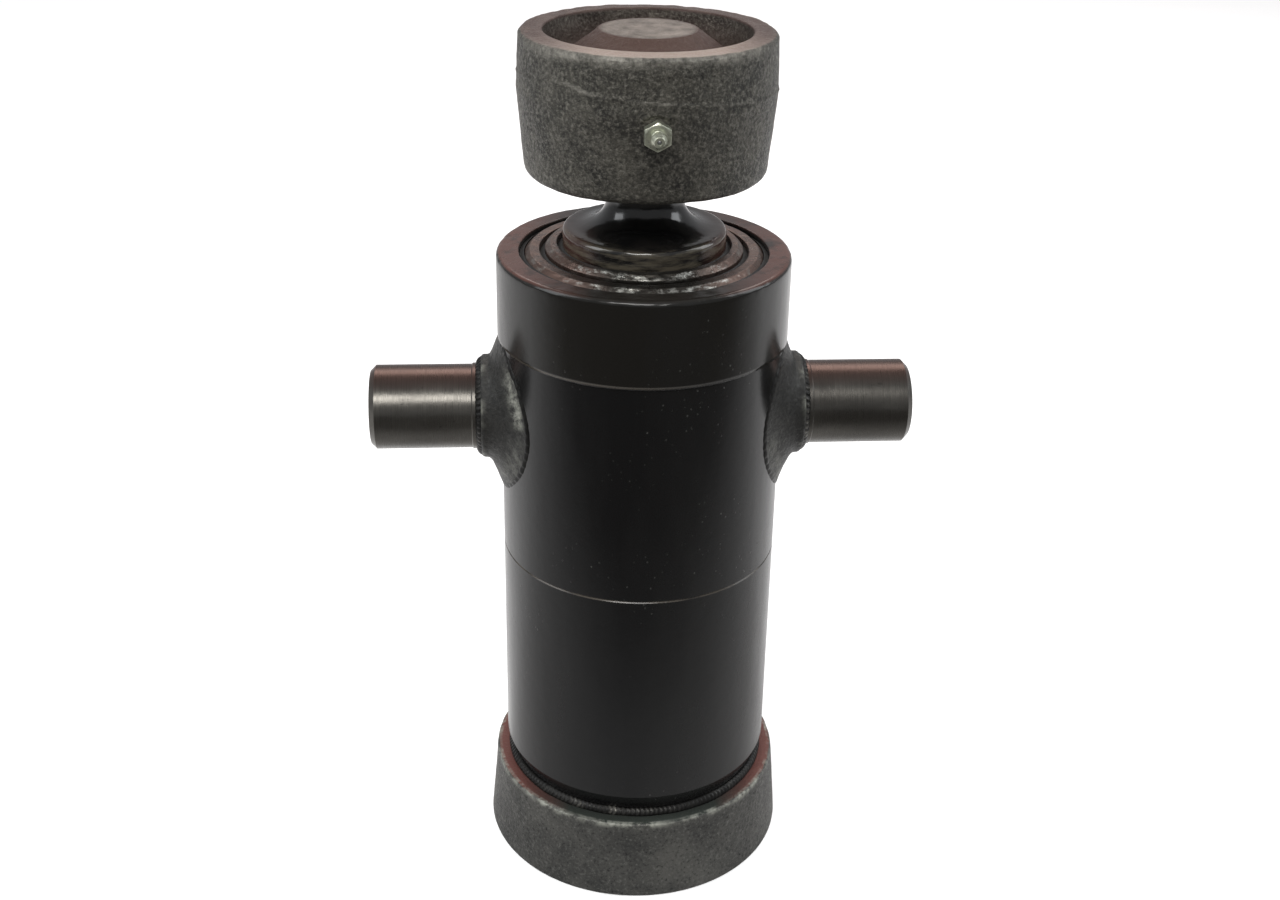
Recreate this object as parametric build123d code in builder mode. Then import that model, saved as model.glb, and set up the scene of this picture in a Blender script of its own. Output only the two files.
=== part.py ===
from build123d import *
from math import asin, degrees, sqrt
import os

# A single-acting telescopic tipping cylinder, closed, standing on its base.
# The origin is the centre of the base's underside, +Z is the cylinder's axis,
# +X runs along the trunnion pins and the oil port faces +Y.

# Fits and clearances
running_fit = 0.1
weld_fit = 0.05
rod_clearance = 0.25
foot_gap = 0.3
ball_fit = 0.3

# Base cap
base_height = 42.0
base_ledge = 5.5
base_taper = 3.6
base_edge_radius = 1.5
floor_rise = 5.0
spigot_chamfer = 1.0
well_diameter = 50.0
well_depth = 3.0
port_height = 21.0
port_thread_diameter = 24.12
port_thread_length = 16.0
port_face_diameter = 37.0
port_face_sink = 3.0
oilway_diameter = 14.0

# Barrel tube
barrel_wall = 7.5
barrel_top = 274.0
root_gap = 1.5
bevel_height = 10.5
bevel_depth = 4.0
base_weld_leg = 3.7
base_weld_crown = 0.5
scribe_height = 165.5
scribe_width = 0.9
scribe_depth = 0.35

# Gland head
head_step = 1.5
head_height = 40.5
head_spigot = 6.0
head_edge_radius = 2.5

# Stages and plunger, from the inside out, with the same gap round each sliding tube
plunger_diameter = 75.0
plunger_wall = 7.5
plunger_proud = 11.5
nest_gap = 4.0
stage_2_wall = 4.0
stage_2_proud = 3.5
stage_1_wall = 5.5
stage_1_proud = 0.5
rim_chamfer = 2.4
plug_height = 18.0
plug_rise = 3.0
plug_chamfer = 1.5

# Gland packing, measured down from each rim and out from the sliding tube
gland_length = 40.0
shoulder_chamfer = 1.5
wiper_groove_depth = 2.5
wiper_groove_height = 7.0
seal_drop = 10.0
seal_groove_depth = 4.75
seal_groove_height = 7.0
guide_drop = 20.0
guide_groove_depth = 2.75
guide_groove_height = 14.0
packing_play = 0.1
split_width = 2.0

# Wiper, with heights from the groove's floor and gaps from the sliding tube
wiper_body_height = 4.2
wiper_crown_height = 4.6
wiper_crown_gap = 1.5
wiper_lip_height = 5.6
wiper_lip_land = 0.6
wiper_waist_height = 2.6
wiper_waist_gap = 0.9

# Rod seal, a cup with a lip against the tube and one against the groove
seal_heel_gap = 0.6
seal_lip_height = 3.5
seal_lip_land = 1.2
seal_lip_flare = 0.6
seal_notch_height = 3.2
seal_outer_lip = 0.8

# Foot guide and stop ring, measured up from each tube's lower end
foot_chamfer = 1.0
foot_land = 5.0
foot_guide_height = 14.0
foot_guide_sink = 1.0
stop_ring_gap = 2.0
stop_wire_diameter = 5.0
stop_wire_lift = 0.5
stop_ring_opening = 8.0
end_play = 0.5

# Ball end
ball_diameter = 60.0
ball_sink = 24.0
neck_diameter = 35.0
neck_fillet = 15.0
spigot_length = 16.0
flange_height = 20.0

# Ball cup
cup_gap = 26.0
cup_height = 63.5
cup_top_diameter = 114.2
cup_upper_draft = 0.8
cup_lower_draft = 3.4
cup_parting_drop = 24.5
cup_lower_radius = 4.0
cup_rim_radius = 1.0
cup_rim_width = 11.0
cup_recess_depth = 14.0
cup_recess_draft = 1.5
cup_boss_top_diameter = 43.6
cup_trough_width = 4.6
cup_boss_fillet = 2.0
cup_recess_fillet = 1.0
cup_mouth_chamfer = 2.0
snap_wire_diameter = 6.0
snap_wire_set = 0.2
snap_ring_opening = 9.0

# Grease nipple
nipple_drop = 31.5
nipple_face_diameter = 15.0
nipple_face_sink = 1.0
nipple_thread_diameter = 9.8
nipple_thread_length = 6.0
nipple_hex_width = 11.0
nipple_hex_height = 5.5
nipple_neck_diameter = 5.0
nipple_neck_height = 3.0
nipple_head_diameter = 6.6
nipple_head_slope = 1.0
nipple_head_height = 4.5
nipple_tip_diameter = 4.4
nipple_mouth_diameter = 2.0
nipple_mouth_depth = 0.5
nipple_bore_diameter = 3.0
nipple_bore_runout = 2.0
nipple_ball_diameter = 2.6
greaseway_diameter = 4.0

# Trunnions
saddle_tuck = 0.5
trunnion_span = 256.0
pin_diameter = 40.0
pin_chamfer = 2.5
pin_root_step = 0.5
pin_root_margin = 0.5
boss_diameter = 50.0
boss_rise = 6.0
boss_land = 3.5
saddle_diameter = 77.0
saddle_power = 1.25
saddle_steps = (0, 0.15, 0.33, 0.66, 1)
pin_weld_length = 3.5
pin_weld_edge = 0.1
pin_weld_crown = 0.7

# Radii and heights that follow from the sizes above
plunger_radius = plunger_diameter / 2
plunger_bore = plunger_radius - plunger_wall
stage_2_bore = plunger_radius + nest_gap
stage_2_radius = stage_2_bore + stage_2_wall
stage_1_bore = stage_2_radius + nest_gap
stage_1_radius = stage_1_bore + stage_1_wall
barrel_bore = stage_1_radius + nest_gap
barrel_radius = barrel_bore + barrel_wall
head_radius = barrel_radius + head_step
base_top_radius = barrel_radius + base_ledge
base_bottom_radius = base_top_radius + base_taper
floor_height = base_height + floor_rise
foot_height = floor_height + foot_gap
head_top = barrel_top + head_height
stage_1_top = head_top + stage_1_proud
stage_2_top = head_top + stage_2_proud
plunger_top = head_top + plunger_proud
cup_bottom = plunger_top + cup_gap
cup_top = cup_bottom + cup_height
ball_height = cup_bottom + ball_sink
ball_radius = ball_diameter / 2
neck_radius = neck_diameter / 2
cavity_radius = ball_radius + ball_fit


def turned(outline, centre_line=Axis.Z, arc=360):
    """A closed outline of (radius, height) points in the XZ plane, turned about an axis."""
    with BuildPart() as piece:
        with BuildSketch(Plane.XZ):
            with BuildLine():
                Polyline(*outline, close=True)
            make_face()
        revolve(axis=centre_line, revolution_arc=arc)
    return piece.part


def save(part, name):
    part.label = name
    export_step(part, f"parts/{name}.step")


def circles(piece, radius, height):
    """The piece's circular edges of one radius at one height."""
    rings = piece.edges().filter_by(GeomType.CIRCLE)
    rings = rings.filter_by(lambda edge: abs(edge.radius - radius) < weld_fit / 2)
    return rings.filter_by(lambda edge: abs(edge.arc_center.Z - height) < weld_fit / 2)


def gland_outline(rod, top, length, bore):
    """The inner side of a gland from its rim down: wiper, seal and guide grooves, then the shoulder."""
    land = rod + rod_clearance
    points = [(rod + wiper_groove_depth, top), (rod + wiper_groove_depth, top - wiper_groove_height)]
    grooves = [
        (seal_drop, seal_groove_height, seal_groove_depth),
        (guide_drop, guide_groove_height, guide_groove_depth),
    ]
    points.append((land, top - wiper_groove_height))
    for drop, height, depth in grooves:
        points.append((land, top - drop))
        points.append((rod + depth, top - drop))
        points.append((rod + depth, top - drop - height))
        points.append((land, top - drop - height))
    points.append((land, top - length + shoulder_chamfer))
    points.append((land + shoulder_chamfer, top - length))
    points.append((bore, top - length))
    return points


def split_band(inner, outer, bottom, height):
    """A square-section band cut through at one place so that it can be sprung into its groove."""
    with BuildPart() as band:
        with BuildSketch(Plane.XY.offset(bottom)):
            Circle(outer)
            Circle(inner, mode=Mode.SUBTRACT)
        extrude(amount=height)
        with BuildSketch(Plane.XY.offset(bottom)):
            with Locations((0, (inner + outer) / 2)):
                Rectangle(split_width, 2 * (outer - inner))
        extrude(amount=height, mode=Mode.SUBTRACT)
    return band.part


def open_wire_ring(ring_radius, wire_diameter, height, opening):
    """A round wire bent into a ring that stops short of closing."""
    gap_angle = 2 * degrees(asin(opening / 2 / ring_radius))
    with BuildPart() as wire:
        with BuildSketch(Plane.XZ.rotated((0, 0, 90 + gap_angle / 2))):
            with Locations((ring_radius, height)):
                Circle(wire_diameter / 2)
        revolve(axis=Axis.Z, revolution_arc=360 - gap_angle)
    return wire.part


def packing(rod, top, owner):
    """The wiper, rod seal and guide band of one gland."""
    foot = top - wiper_groove_height + packing_play
    back = rod + wiper_groove_depth - weld_fit
    lip = rod + running_fit
    wiper = turned([
        (back, foot),
        (back, foot + wiper_body_height),
        (rod + wiper_crown_gap, foot + wiper_crown_height),
        (lip, foot + wiper_lip_height),
        (lip, foot + wiper_lip_height - wiper_lip_land),
        (rod + wiper_waist_gap, foot + wiper_waist_height),
        (rod + wiper_waist_gap, foot),
    ])
    save(wiper, f"{owner}_wiper")
    low = top - seal_drop - seal_groove_height + packing_play
    high = top - seal_drop - packing_play
    back = rod + seal_groove_depth - weld_fit
    seal = turned([
        (back, low),
        (back, high),
        (rod + seal_heel_gap, high),
        (rod + seal_heel_gap, low + seal_lip_height),
        (lip, low + seal_lip_land),
        (lip + seal_lip_flare, low),
        (rod + seal_groove_depth / 2, low + seal_notch_height),
        (back - seal_outer_lip, low),
    ])
    save(seal, f"{owner}_rod_seal")
    bottom = top - guide_drop - guide_groove_height + packing_play
    back = rod + guide_groove_depth - weld_fit
    band = split_band(lip, back, bottom, guide_groove_height - 2 * packing_play)
    save(band, f"{owner}_guide_band")


def foot_rings(tube_radius, bore, owner):
    """The guide ring round a tube's lower end and the round-wire stop ring above it."""
    bottom = foot_height + foot_land + packing_play
    height = foot_guide_height - 2 * packing_play
    inner = tube_radius - foot_guide_sink + running_fit
    save(split_band(inner, bore - running_fit, bottom, height), f"{owner}_foot_guide")
    wire_height = stop_ring_height()
    wire_radius = tube_radius + stop_wire_lift
    ring = open_wire_ring(wire_radius, stop_wire_diameter, wire_height, stop_ring_opening)
    save(ring, f"{owner}_stop_ring")


def stop_ring_height():
    return foot_height + foot_land + foot_guide_height + stop_ring_gap + stop_wire_diameter / 2


def foot_outline(tube_radius, bore):
    """A tube's lower end from its bore round to the top of the guide ring's groove."""
    low = foot_height + foot_land
    return [
        (bore, foot_height),
        (tube_radius - foot_chamfer, foot_height),
        (tube_radius, foot_height + foot_chamfer),
        (tube_radius, low),
        (tube_radius - foot_guide_sink, low),
        (tube_radius - foot_guide_sink, low + foot_guide_height),
        (tube_radius, low + foot_guide_height),
    ]


def cut_stop_groove(tube, tube_radius, owner):
    """A round-bottomed groove for the stop ring, cut in a tube that is then saved."""
    with BuildPart() as grooved:
        add(tube)
        with BuildSketch(Plane.XZ):
            with Locations((tube_radius + stop_wire_lift, stop_ring_height())):
                Circle(stop_wire_diameter / 2 + running_fit)
        revolve(axis=Axis.Z, mode=Mode.SUBTRACT)
    save(grooved.part, owner)


def stage_tube(radius, bore, rod, top, owner):
    """One extending tube: foot, plain wall, and a gland at its rim for the tube inside it."""
    outline = foot_outline(radius, bore)
    outline += [(radius, top - rim_chamfer), (radius - rim_chamfer, top)]
    outline += gland_outline(rod, top, gland_length, bore)
    cut_stop_groove(turned(outline), radius, owner)


os.makedirs("parts", exist_ok=True)

# Base cap: a tapered steel disc with a low spigot, an oil port and its oilways
port_face = base_bottom_radius - base_taper * port_height / base_height - port_face_sink
port_plane = Plane(origin=(0, port_face, port_height), x_dir=(1, 0, 0), z_dir=(0, -1, 0))
with BuildPart() as base_cap:
    with BuildSketch(Plane.XZ):
        with BuildLine():
            Polyline(
                (0, 0),
                (base_bottom_radius, 0),
                (base_top_radius, base_height),
                (barrel_bore - weld_fit, base_height),
                (barrel_bore - weld_fit, floor_height),
                (0, floor_height),
                close=True,
            )
        make_face()
    revolve(axis=Axis.Z)
    fillet(circles(base_cap, base_bottom_radius, 0), base_edge_radius)
    fillet(circles(base_cap, base_top_radius, base_height), base_edge_radius)
    chamfer(circles(base_cap, barrel_bore - weld_fit, floor_height), spigot_chamfer)
    with BuildSketch(Plane.XY.offset(floor_height)):
        Circle(well_diameter / 2)
    extrude(amount=-well_depth, mode=Mode.SUBTRACT)
    with BuildSketch(Plane.XY.offset(floor_height)):
        Circle(oilway_diameter / 2)
    extrude(amount=port_height - floor_height, mode=Mode.SUBTRACT)
    with BuildSketch(port_plane):
        Circle(port_face_diameter / 2)
    extrude(amount=port_face - base_bottom_radius, mode=Mode.SUBTRACT)
    with BuildSketch(port_plane):
        Circle(port_thread_diameter / 2)
    extrude(amount=port_thread_length, mode=Mode.SUBTRACT)
    with BuildSketch(port_plane):
        Circle(oilway_diameter / 2)
    extrude(amount=port_face + oilway_diameter / 2, mode=Mode.SUBTRACT)
save(base_cap.part, "base_cap")

# Barrel tube, bevelled at its root for the weld and scribed round its middle
root_height = base_height + root_gap
root_radius = barrel_radius - bevel_depth
with BuildPart() as barrel_tube:
    with BuildSketch(Plane.XZ):
        with BuildLine():
            Polyline(
                (barrel_bore, root_height),
                (root_radius, root_height),
                (barrel_radius, root_height + bevel_height),
                (barrel_radius, scribe_height - scribe_width / 2),
                (barrel_radius - scribe_depth, scribe_height),
                (barrel_radius, scribe_height + scribe_width / 2),
                (barrel_radius, barrel_top),
                (barrel_bore, barrel_top),
                close=True,
            )
        make_face()
    revolve(axis=Axis.Z)
save(barrel_tube.part, "barrel_tube")

# Root weld that fills the corner between the base cap and the bevel
weld_top_radius = root_radius + base_weld_leg / 2 * bevel_depth / bevel_height
weld_top = (weld_top_radius, root_height + base_weld_leg / 2)
weld_toe = (root_radius + base_weld_leg, base_height)
bulge_radius = (weld_top[0] + weld_toe[0]) / 2 + base_weld_crown
bulge_height = (weld_top[1] + weld_toe[1]) / 2 + base_weld_crown
with BuildPart() as base_weld:
    with BuildSketch(Plane.XZ):
        with BuildLine():
            Polyline(
                weld_top,
                (root_radius, root_height),
                (barrel_bore + weld_fit, root_height),
                (barrel_bore + weld_fit, base_height),
                weld_toe,
            )
            ThreePointArc(weld_toe, (bulge_radius, bulge_height), weld_top)
        make_face()
    revolve(axis=Axis.Z)
save(base_weld.part, "base_weld")

# Gland head, a thick collar with a spigot in the top of the barrel
spigot_radius = barrel_bore - weld_fit
head_outline = gland_outline(stage_1_radius, head_top, head_height + head_spigot, spigot_radius)
head_outline += [(spigot_radius, barrel_top), (head_radius, barrel_top), (head_radius, head_top)]
with BuildPart() as gland_head:
    with BuildSketch(Plane.XZ):
        with BuildLine():
            Polyline(*head_outline, close=True)
        make_face()
    revolve(axis=Axis.Z)
    fillet(circles(gland_head, head_radius, head_top), head_edge_radius)
save(gland_head.part, "gland_head")

# Nested tubes
stage_tube(stage_1_radius, stage_1_bore, stage_2_radius, stage_1_top, "stage_1_tube")
stage_tube(stage_2_radius, stage_2_bore, plunger_radius, stage_2_top, "stage_2_tube")
flange_bottom = plunger_top - flange_height
plunger_outline = foot_outline(plunger_radius, plunger_bore)
plunger_outline += [(plunger_radius, flange_bottom), (plunger_bore, flange_bottom)]
cut_stop_groove(turned(plunger_outline), plunger_radius, "plunger_tube")

# Packing of the three glands, and the rings at the three tubes' feet
packing(stage_1_radius, head_top, "head")
packing(stage_2_radius, stage_1_top, "stage_1")
packing(plunger_radius, stage_2_top, "stage_2")
foot_rings(stage_1_radius, barrel_bore, "stage_1")
foot_rings(stage_2_radius, stage_1_bore, "stage_2")
foot_rings(plunger_radius, stage_2_bore, "plunger")

# Plug that closes the plunger's lower end
with BuildPart() as plunger_plug:
    with BuildSketch(Plane.XY.offset(foot_height + plug_rise)):
        Circle(plunger_bore - weld_fit)
    extrude(amount=plug_height)
    chamfer(plunger_plug.edges().filter_by(GeomType.CIRCLE), plug_chamfer)
save(plunger_plug.part, "plunger_plug")

# Ball end: spigot, flange, flared neck and ball in one forging
neck_angle = degrees(asin(neck_radius / ball_radius))
neck_joint = ball_height - sqrt(ball_radius**2 - neck_radius**2)
fillet_centre = (neck_radius + neck_fillet, plunger_top + neck_fillet)
with BuildPart() as ball_end:
    with BuildSketch(Plane.XZ):
        with BuildLine():
            Polyline(
                (0, ball_height + ball_radius),
                (0, flange_bottom - spigot_length),
                (plunger_bore - weld_fit, flange_bottom - spigot_length),
                (plunger_bore - weld_fit, flange_bottom),
                (plunger_radius, flange_bottom),
                (plunger_radius, plunger_top - rim_chamfer),
                (plunger_radius - rim_chamfer, plunger_top),
                (neck_radius + neck_fillet, plunger_top),
            )
            CenterArc(fillet_centre, neck_fillet, 270, -90)
            Line((neck_radius, plunger_top + neck_fillet), (neck_radius, neck_joint))
            CenterArc((0, ball_height), ball_radius, neck_angle - 90, 180 - neck_angle)
        make_face()
    revolve(axis=Axis.Z)
save(ball_end.part, "ball_end")

# Ball cup: a forging with a coned recess on top and the ball's socket below
cup_top_radius = cup_top_diameter / 2
cup_middle_radius = cup_top_radius + cup_upper_draft
cup_bottom_radius = cup_middle_radius - cup_lower_draft
rim_radius = cup_top_radius - cup_rim_width
recess_floor = cup_top - cup_recess_depth
floor_radius = rim_radius - cup_recess_draft
boss_foot_radius = floor_radius - cup_trough_width
snap_radius = cavity_radius + snap_wire_set
snap_wire_radius = snap_wire_diameter / 2
snap_reach = ball_radius + snap_wire_radius + ball_fit
snap_height = ball_height - sqrt(snap_reach**2 - snap_radius**2)
nipple_height = cup_top - nipple_drop
nipple_face = cup_middle_radius - nipple_face_sink
nipple_plane = Plane(origin=(0, -nipple_face, nipple_height), x_dir=(1, 0, 0), z_dir=(0, -1, 0))
with BuildPart() as ball_cup:
    with BuildSketch(Plane.XZ):
        with BuildLine():
            Polyline(
                (0, cup_bottom),
                (cup_bottom_radius, cup_bottom),
                (cup_middle_radius, cup_top - cup_parting_drop),
                (cup_top_radius, cup_top),
                (rim_radius, cup_top),
                (floor_radius, recess_floor),
                (boss_foot_radius, recess_floor),
                (cup_boss_top_diameter / 2, cup_top),
                (0, cup_top),
                close=True,
            )
        make_face()
    revolve(axis=Axis.Z)
    fillet(circles(ball_cup, cup_bottom_radius, cup_bottom), cup_lower_radius)
    fillet(circles(ball_cup, boss_foot_radius, recess_floor), cup_boss_fillet)
    fillet(circles(ball_cup, floor_radius, recess_floor), cup_recess_fillet)
    fillet(circles(ball_cup, cup_top_radius, cup_top), cup_rim_radius)
    with BuildSketch(Plane.XZ):
        with BuildLine():
            Polyline(
                (0, ball_height + cavity_radius),
                (0, cup_bottom),
                (cavity_radius, cup_bottom),
                (cavity_radius, ball_height),
            )
            CenterArc((0, ball_height), cavity_radius, 0, 90)
        make_face()
    revolve(axis=Axis.Z, mode=Mode.SUBTRACT)
    chamfer(circles(ball_cup, cavity_radius, cup_bottom), cup_mouth_chamfer)
    with BuildSketch(Plane.XZ):
        with Locations((snap_radius, snap_height)):
            Circle(snap_wire_radius + running_fit)
    revolve(axis=Axis.Z, mode=Mode.SUBTRACT)
    with BuildSketch(nipple_plane):
        Circle(nipple_face_diameter / 2)
    extrude(amount=nipple_face_diameter, mode=Mode.SUBTRACT)
    with BuildSketch(nipple_plane):
        Circle(nipple_thread_diameter / 2 + weld_fit)
    extrude(amount=-nipple_thread_length - nipple_bore_runout, mode=Mode.SUBTRACT)
    with BuildSketch(nipple_plane):
        Circle(greaseway_diameter / 2)
    extrude(amount=cavity_radius / 2 - nipple_face, mode=Mode.SUBTRACT)
save(ball_cup.part, "ball_cup")

# Round-wire ring that keeps the ball in the cup
snap_ring = open_wire_ring(snap_radius, snap_wire_diameter, snap_height, snap_ring_opening)
save(snap_ring, "cup_snap_ring")

# Grease nipple screwed into the front of the cup, and the check ball in its head
hex_top = nipple_hex_height
neck_top = hex_top + nipple_neck_height
tip = neck_top + nipple_head_height
nipple_axis = Axis((0, -nipple_face, nipple_height), (0, -1, 0))
nipple_side = Plane(origin=(0, -nipple_face, nipple_height), x_dir=(1, 0, 0), z_dir=(0, 0, -1))
with BuildPart() as grease_nipple:
    with BuildSketch(nipple_plane):
        RegularPolygon(nipple_hex_width / 2, 6, major_radius=False, rotation=30)
    extrude(amount=nipple_hex_height)
    with BuildSketch(nipple_side):
        with BuildLine():
            Polyline(
                (0, -nipple_thread_length),
                (nipple_thread_diameter / 2, -nipple_thread_length),
                (nipple_thread_diameter / 2, hex_top / 2),
                (nipple_neck_diameter / 2, hex_top),
                (nipple_neck_diameter / 2, neck_top - nipple_head_slope / 2),
                (nipple_head_diameter / 2, neck_top + nipple_head_slope / 2),
                (nipple_head_diameter / 2, neck_top + nipple_head_height / 2),
                (nipple_tip_diameter / 2, tip),
                (0, tip),
                close=True,
            )
        make_face()
    revolve(axis=nipple_axis)
    with BuildSketch(nipple_plane.offset(tip)):
        Circle(nipple_mouth_diameter / 2)
    extrude(amount=-nipple_mouth_depth, mode=Mode.SUBTRACT)
    with BuildSketch(nipple_plane.offset(tip - nipple_mouth_depth)):
        Circle(nipple_bore_diameter / 2)
    extrude(amount=nipple_mouth_depth - tip - nipple_thread_length, mode=Mode.SUBTRACT)
save(grease_nipple.part, "grease_nipple")

check_radius = nipple_ball_diameter / 2
check_seat = sqrt(check_radius**2 - (nipple_mouth_diameter / 2) ** 2)
check_depth = nipple_face + tip - nipple_mouth_depth - check_seat - weld_fit
with BuildPart(Plane(origin=(0, -check_depth, nipple_height))) as nipple_ball:
    Sphere(check_radius)
save(nipple_ball.part, "nipple_check_ball")

# Trunnions: a flared saddle, a pin through it and the weld bead round the pin
boss_shoulder = barrel_radius + boss_rise
boss_reach = boss_shoulder + boss_land
boss_radius = boss_diameter / 2
saddle_radius = saddle_diameter / 2
pin_radius = pin_diameter / 2
pin_root_radius = pin_radius + pin_root_step
trunnion_height = barrel_top + saddle_tuck - saddle_radius
boss_flare = saddle_radius - boss_radius
saddle_side = sqrt(barrel_radius**2 - saddle_radius**2)
side_drop = boss_shoulder - saddle_side
trunnion_axis = Axis((0, 0, trunnion_height), (1, 0, 0))
for side, hand in ((1, "right"), (-1, "left")):
    with BuildPart() as saddle:
        for share in saddle_steps:
            drop = side_drop * share
            half_length = boss_radius + boss_flare * (drop / boss_rise) ** saddle_power
            half_width = boss_radius + boss_flare * share**saddle_power
            with BuildSketch(Plane.YZ.offset(side * (boss_shoulder - drop))):
                with Locations((0, trunnion_height)):
                    Ellipse(half_width, half_length)
        loft()
        with BuildSketch(Plane.YZ):
            with Locations((0, trunnion_height)):
                Circle(saddle_radius)
        extrude(amount=side * boss_reach, mode=Mode.INTERSECT)
        with BuildSketch(Plane.YZ.offset(side * boss_shoulder)):
            with Locations((0, trunnion_height)):
                Circle(boss_radius)
        extrude(amount=side * boss_land)
        with BuildSketch(Plane.XY.offset(root_height)):
            Circle(barrel_radius)
        extrude(amount=barrel_top, mode=Mode.SUBTRACT)
        with BuildSketch(Plane.XY.offset(barrel_top)):
            Circle(head_radius)
        extrude(amount=head_height, mode=Mode.SUBTRACT)
        with BuildSketch(Plane.YZ):
            with Locations((0, trunnion_height)):
                Circle(pin_root_radius + weld_fit)
        extrude(amount=side * trunnion_span, mode=Mode.SUBTRACT)
    save(saddle.part, f"trunnion_saddle_{hand}")

    pin_foot = barrel_radius + weld_fit
    journal_start = boss_reach + pin_weld_length + pin_root_margin
    pin_end = trunnion_span / 2
    pin = turned([
        (side * pin_foot, trunnion_height),
        (side * pin_foot, trunnion_height + pin_root_radius),
        (side * journal_start, trunnion_height + pin_root_radius),
        (side * (journal_start + pin_root_step), trunnion_height + pin_radius),
        (side * (pin_end - pin_chamfer), trunnion_height + pin_radius),
        (side * pin_end, trunnion_height + pin_radius - pin_chamfer),
        (side * pin_end, trunnion_height),
    ], trunnion_axis)
    save(pin, f"trunnion_pin_{hand}")

    bead_base = (side * boss_reach, trunnion_height + boss_radius)
    bead_height = trunnion_height + pin_root_radius + weld_fit
    bead_toe = (side * (boss_reach + pin_weld_length), bead_height + pin_weld_edge)
    crown_reach = (bead_base[0] + bead_toe[0]) / 2 + side * pin_weld_crown
    crown_height = (bead_base[1] + bead_toe[1]) / 2 + pin_weld_crown
    with BuildPart() as bead:
        with BuildSketch(Plane.XZ):
            with BuildLine():
                Polyline(
                    bead_toe,
                    (bead_toe[0], bead_height),
                    (bead_base[0], bead_height),
                    bead_base,
                )
                ThreePointArc(bead_base, (crown_reach, crown_height), bead_toe)
            make_face()
        revolve(axis=trunnion_axis)
    save(bead.part, f"trunnion_weld_{hand}")

stop_top = stop_ring_height() + stop_wire_diameter / 2
print("stage 1 travel", barrel_top - head_spigot - stop_top - end_play)
print("stage 2 travel", stage_1_top - gland_length - stop_top - end_play)
print("plunger travel", stage_2_top - gland_length - stop_top - end_play)
print("ball centre height", ball_height)
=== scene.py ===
import math
from itertools import product

import bmesh
import bpy
import numpy as np
from mathutils import Matrix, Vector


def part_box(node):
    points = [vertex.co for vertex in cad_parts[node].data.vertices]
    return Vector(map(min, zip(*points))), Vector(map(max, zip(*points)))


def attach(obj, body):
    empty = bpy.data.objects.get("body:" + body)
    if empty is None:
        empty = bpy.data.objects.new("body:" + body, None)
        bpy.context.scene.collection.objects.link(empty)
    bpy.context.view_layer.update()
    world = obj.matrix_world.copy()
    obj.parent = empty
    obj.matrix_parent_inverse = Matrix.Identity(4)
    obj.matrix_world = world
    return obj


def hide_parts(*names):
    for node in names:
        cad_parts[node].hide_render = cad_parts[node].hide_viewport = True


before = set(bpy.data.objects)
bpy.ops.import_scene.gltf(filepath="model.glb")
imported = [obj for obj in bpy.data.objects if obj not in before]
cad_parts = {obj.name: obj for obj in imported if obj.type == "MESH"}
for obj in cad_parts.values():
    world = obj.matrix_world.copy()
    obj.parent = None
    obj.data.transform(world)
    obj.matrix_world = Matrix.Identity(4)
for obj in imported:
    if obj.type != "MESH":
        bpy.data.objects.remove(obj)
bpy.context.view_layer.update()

for name in ("Cube", "Light", "Camera"):
    if name in bpy.data.objects:
        bpy.data.objects.remove(bpy.data.objects[name])
bpy.context.scene.view_settings.view_transform = "Standard"
print("frame loaded:", len(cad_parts), "nodes")

mm = 0.001  # shapes are worked out in millimetres and put into their meshes in metres


def nodeBox(node):
    low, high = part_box(node)
    return np.array(low) / mm, np.array(high) / mm


def smooth(x):
    # 0 below 0, 1 above 1, and 3x^2 - 2x^3 between
    x = np.clip(x, 0, 1)
    return x * x * (3 - 2 * x)


def lumps(points, size, seed):
    # Random heights from -1 to 1 at the corners of a lattice of cubes, mixed inside each cube by
    # how far across it the point lies along each axis, eased by smooth().
    table = np.random.default_rng(seed).uniform(-1, 1, (32, 32, 32))
    scaled = np.asarray(points) / size + 500
    cell = np.floor(scaled).astype(int)
    share = smooth(scaled - cell)
    total = np.zeros(scaled.shape[:-1])
    for corner in product((0, 1), repeat=3):
        weight = np.prod(np.where(corner, share, 1 - share), axis=-1)
        index = (cell + corner) % 32
        total += weight * table[index[..., 0], index[..., 1], index[..., 2]]
    return total


def outlineThrough(corners):
    # A line through (radius, height, rounding, step) corners. A rounding turns its corner into the
    # arc of that radius that touches both runs; each run is cut into equal parts of about its step.
    places = np.array([corner[:2] for corner in corners], float)
    line = [places[0]]
    for i in range(1, len(corners)):
        step = corners[i - 1][3]
        if i == len(corners) - 1 or corners[i][2] == 0:
            arc = places[i : i + 1]
        else:
            rounding = corners[i][2]
            back = places[i - 1] - places[i]
            back /= np.linalg.norm(back)
            on = places[i + 1] - places[i]
            on /= np.linalg.norm(on)
            half = math.acos(np.clip(back @ on, -1, 1)) / 2
            middle = (back + on) / np.linalg.norm(back + on)
            centre = places[i] + middle * rounding / math.sin(half)
            first = (places[i] + back * rounding / math.tan(half) - centre) / rounding
            last = (places[i] + on * rounding / math.tan(half) - centre) / rounding
            turn = math.pi - 2 * half
            parts = max(3, int(math.ceil(rounding * turn / min(step, corners[i][3]))))
            share = np.linspace(0, 1, parts + 1)[:, None]
            arc = centre + rounding * (
                np.sin((1 - share) * turn) * first + np.sin(share * turn) * last
            ) / math.sin(turn)
        start = line[-1]
        parts = max(1, int(round(np.linalg.norm(arc[0] - start) / step)))
        line += [start + (arc[0] - start) * k / parts for k in range(1, parts + 1)]
        line += list(arc[1:])
    return np.array(line)


def outlineNormals(line):
    # The direction to the right of the line at each point, from the runs before and after it
    along = np.gradient(line, axis=0)
    along /= np.linalg.norm(along, axis=1)[:, None] + 1e-12
    return np.stack([along[:, 1], -along[:, 0]], axis=1)


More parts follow.
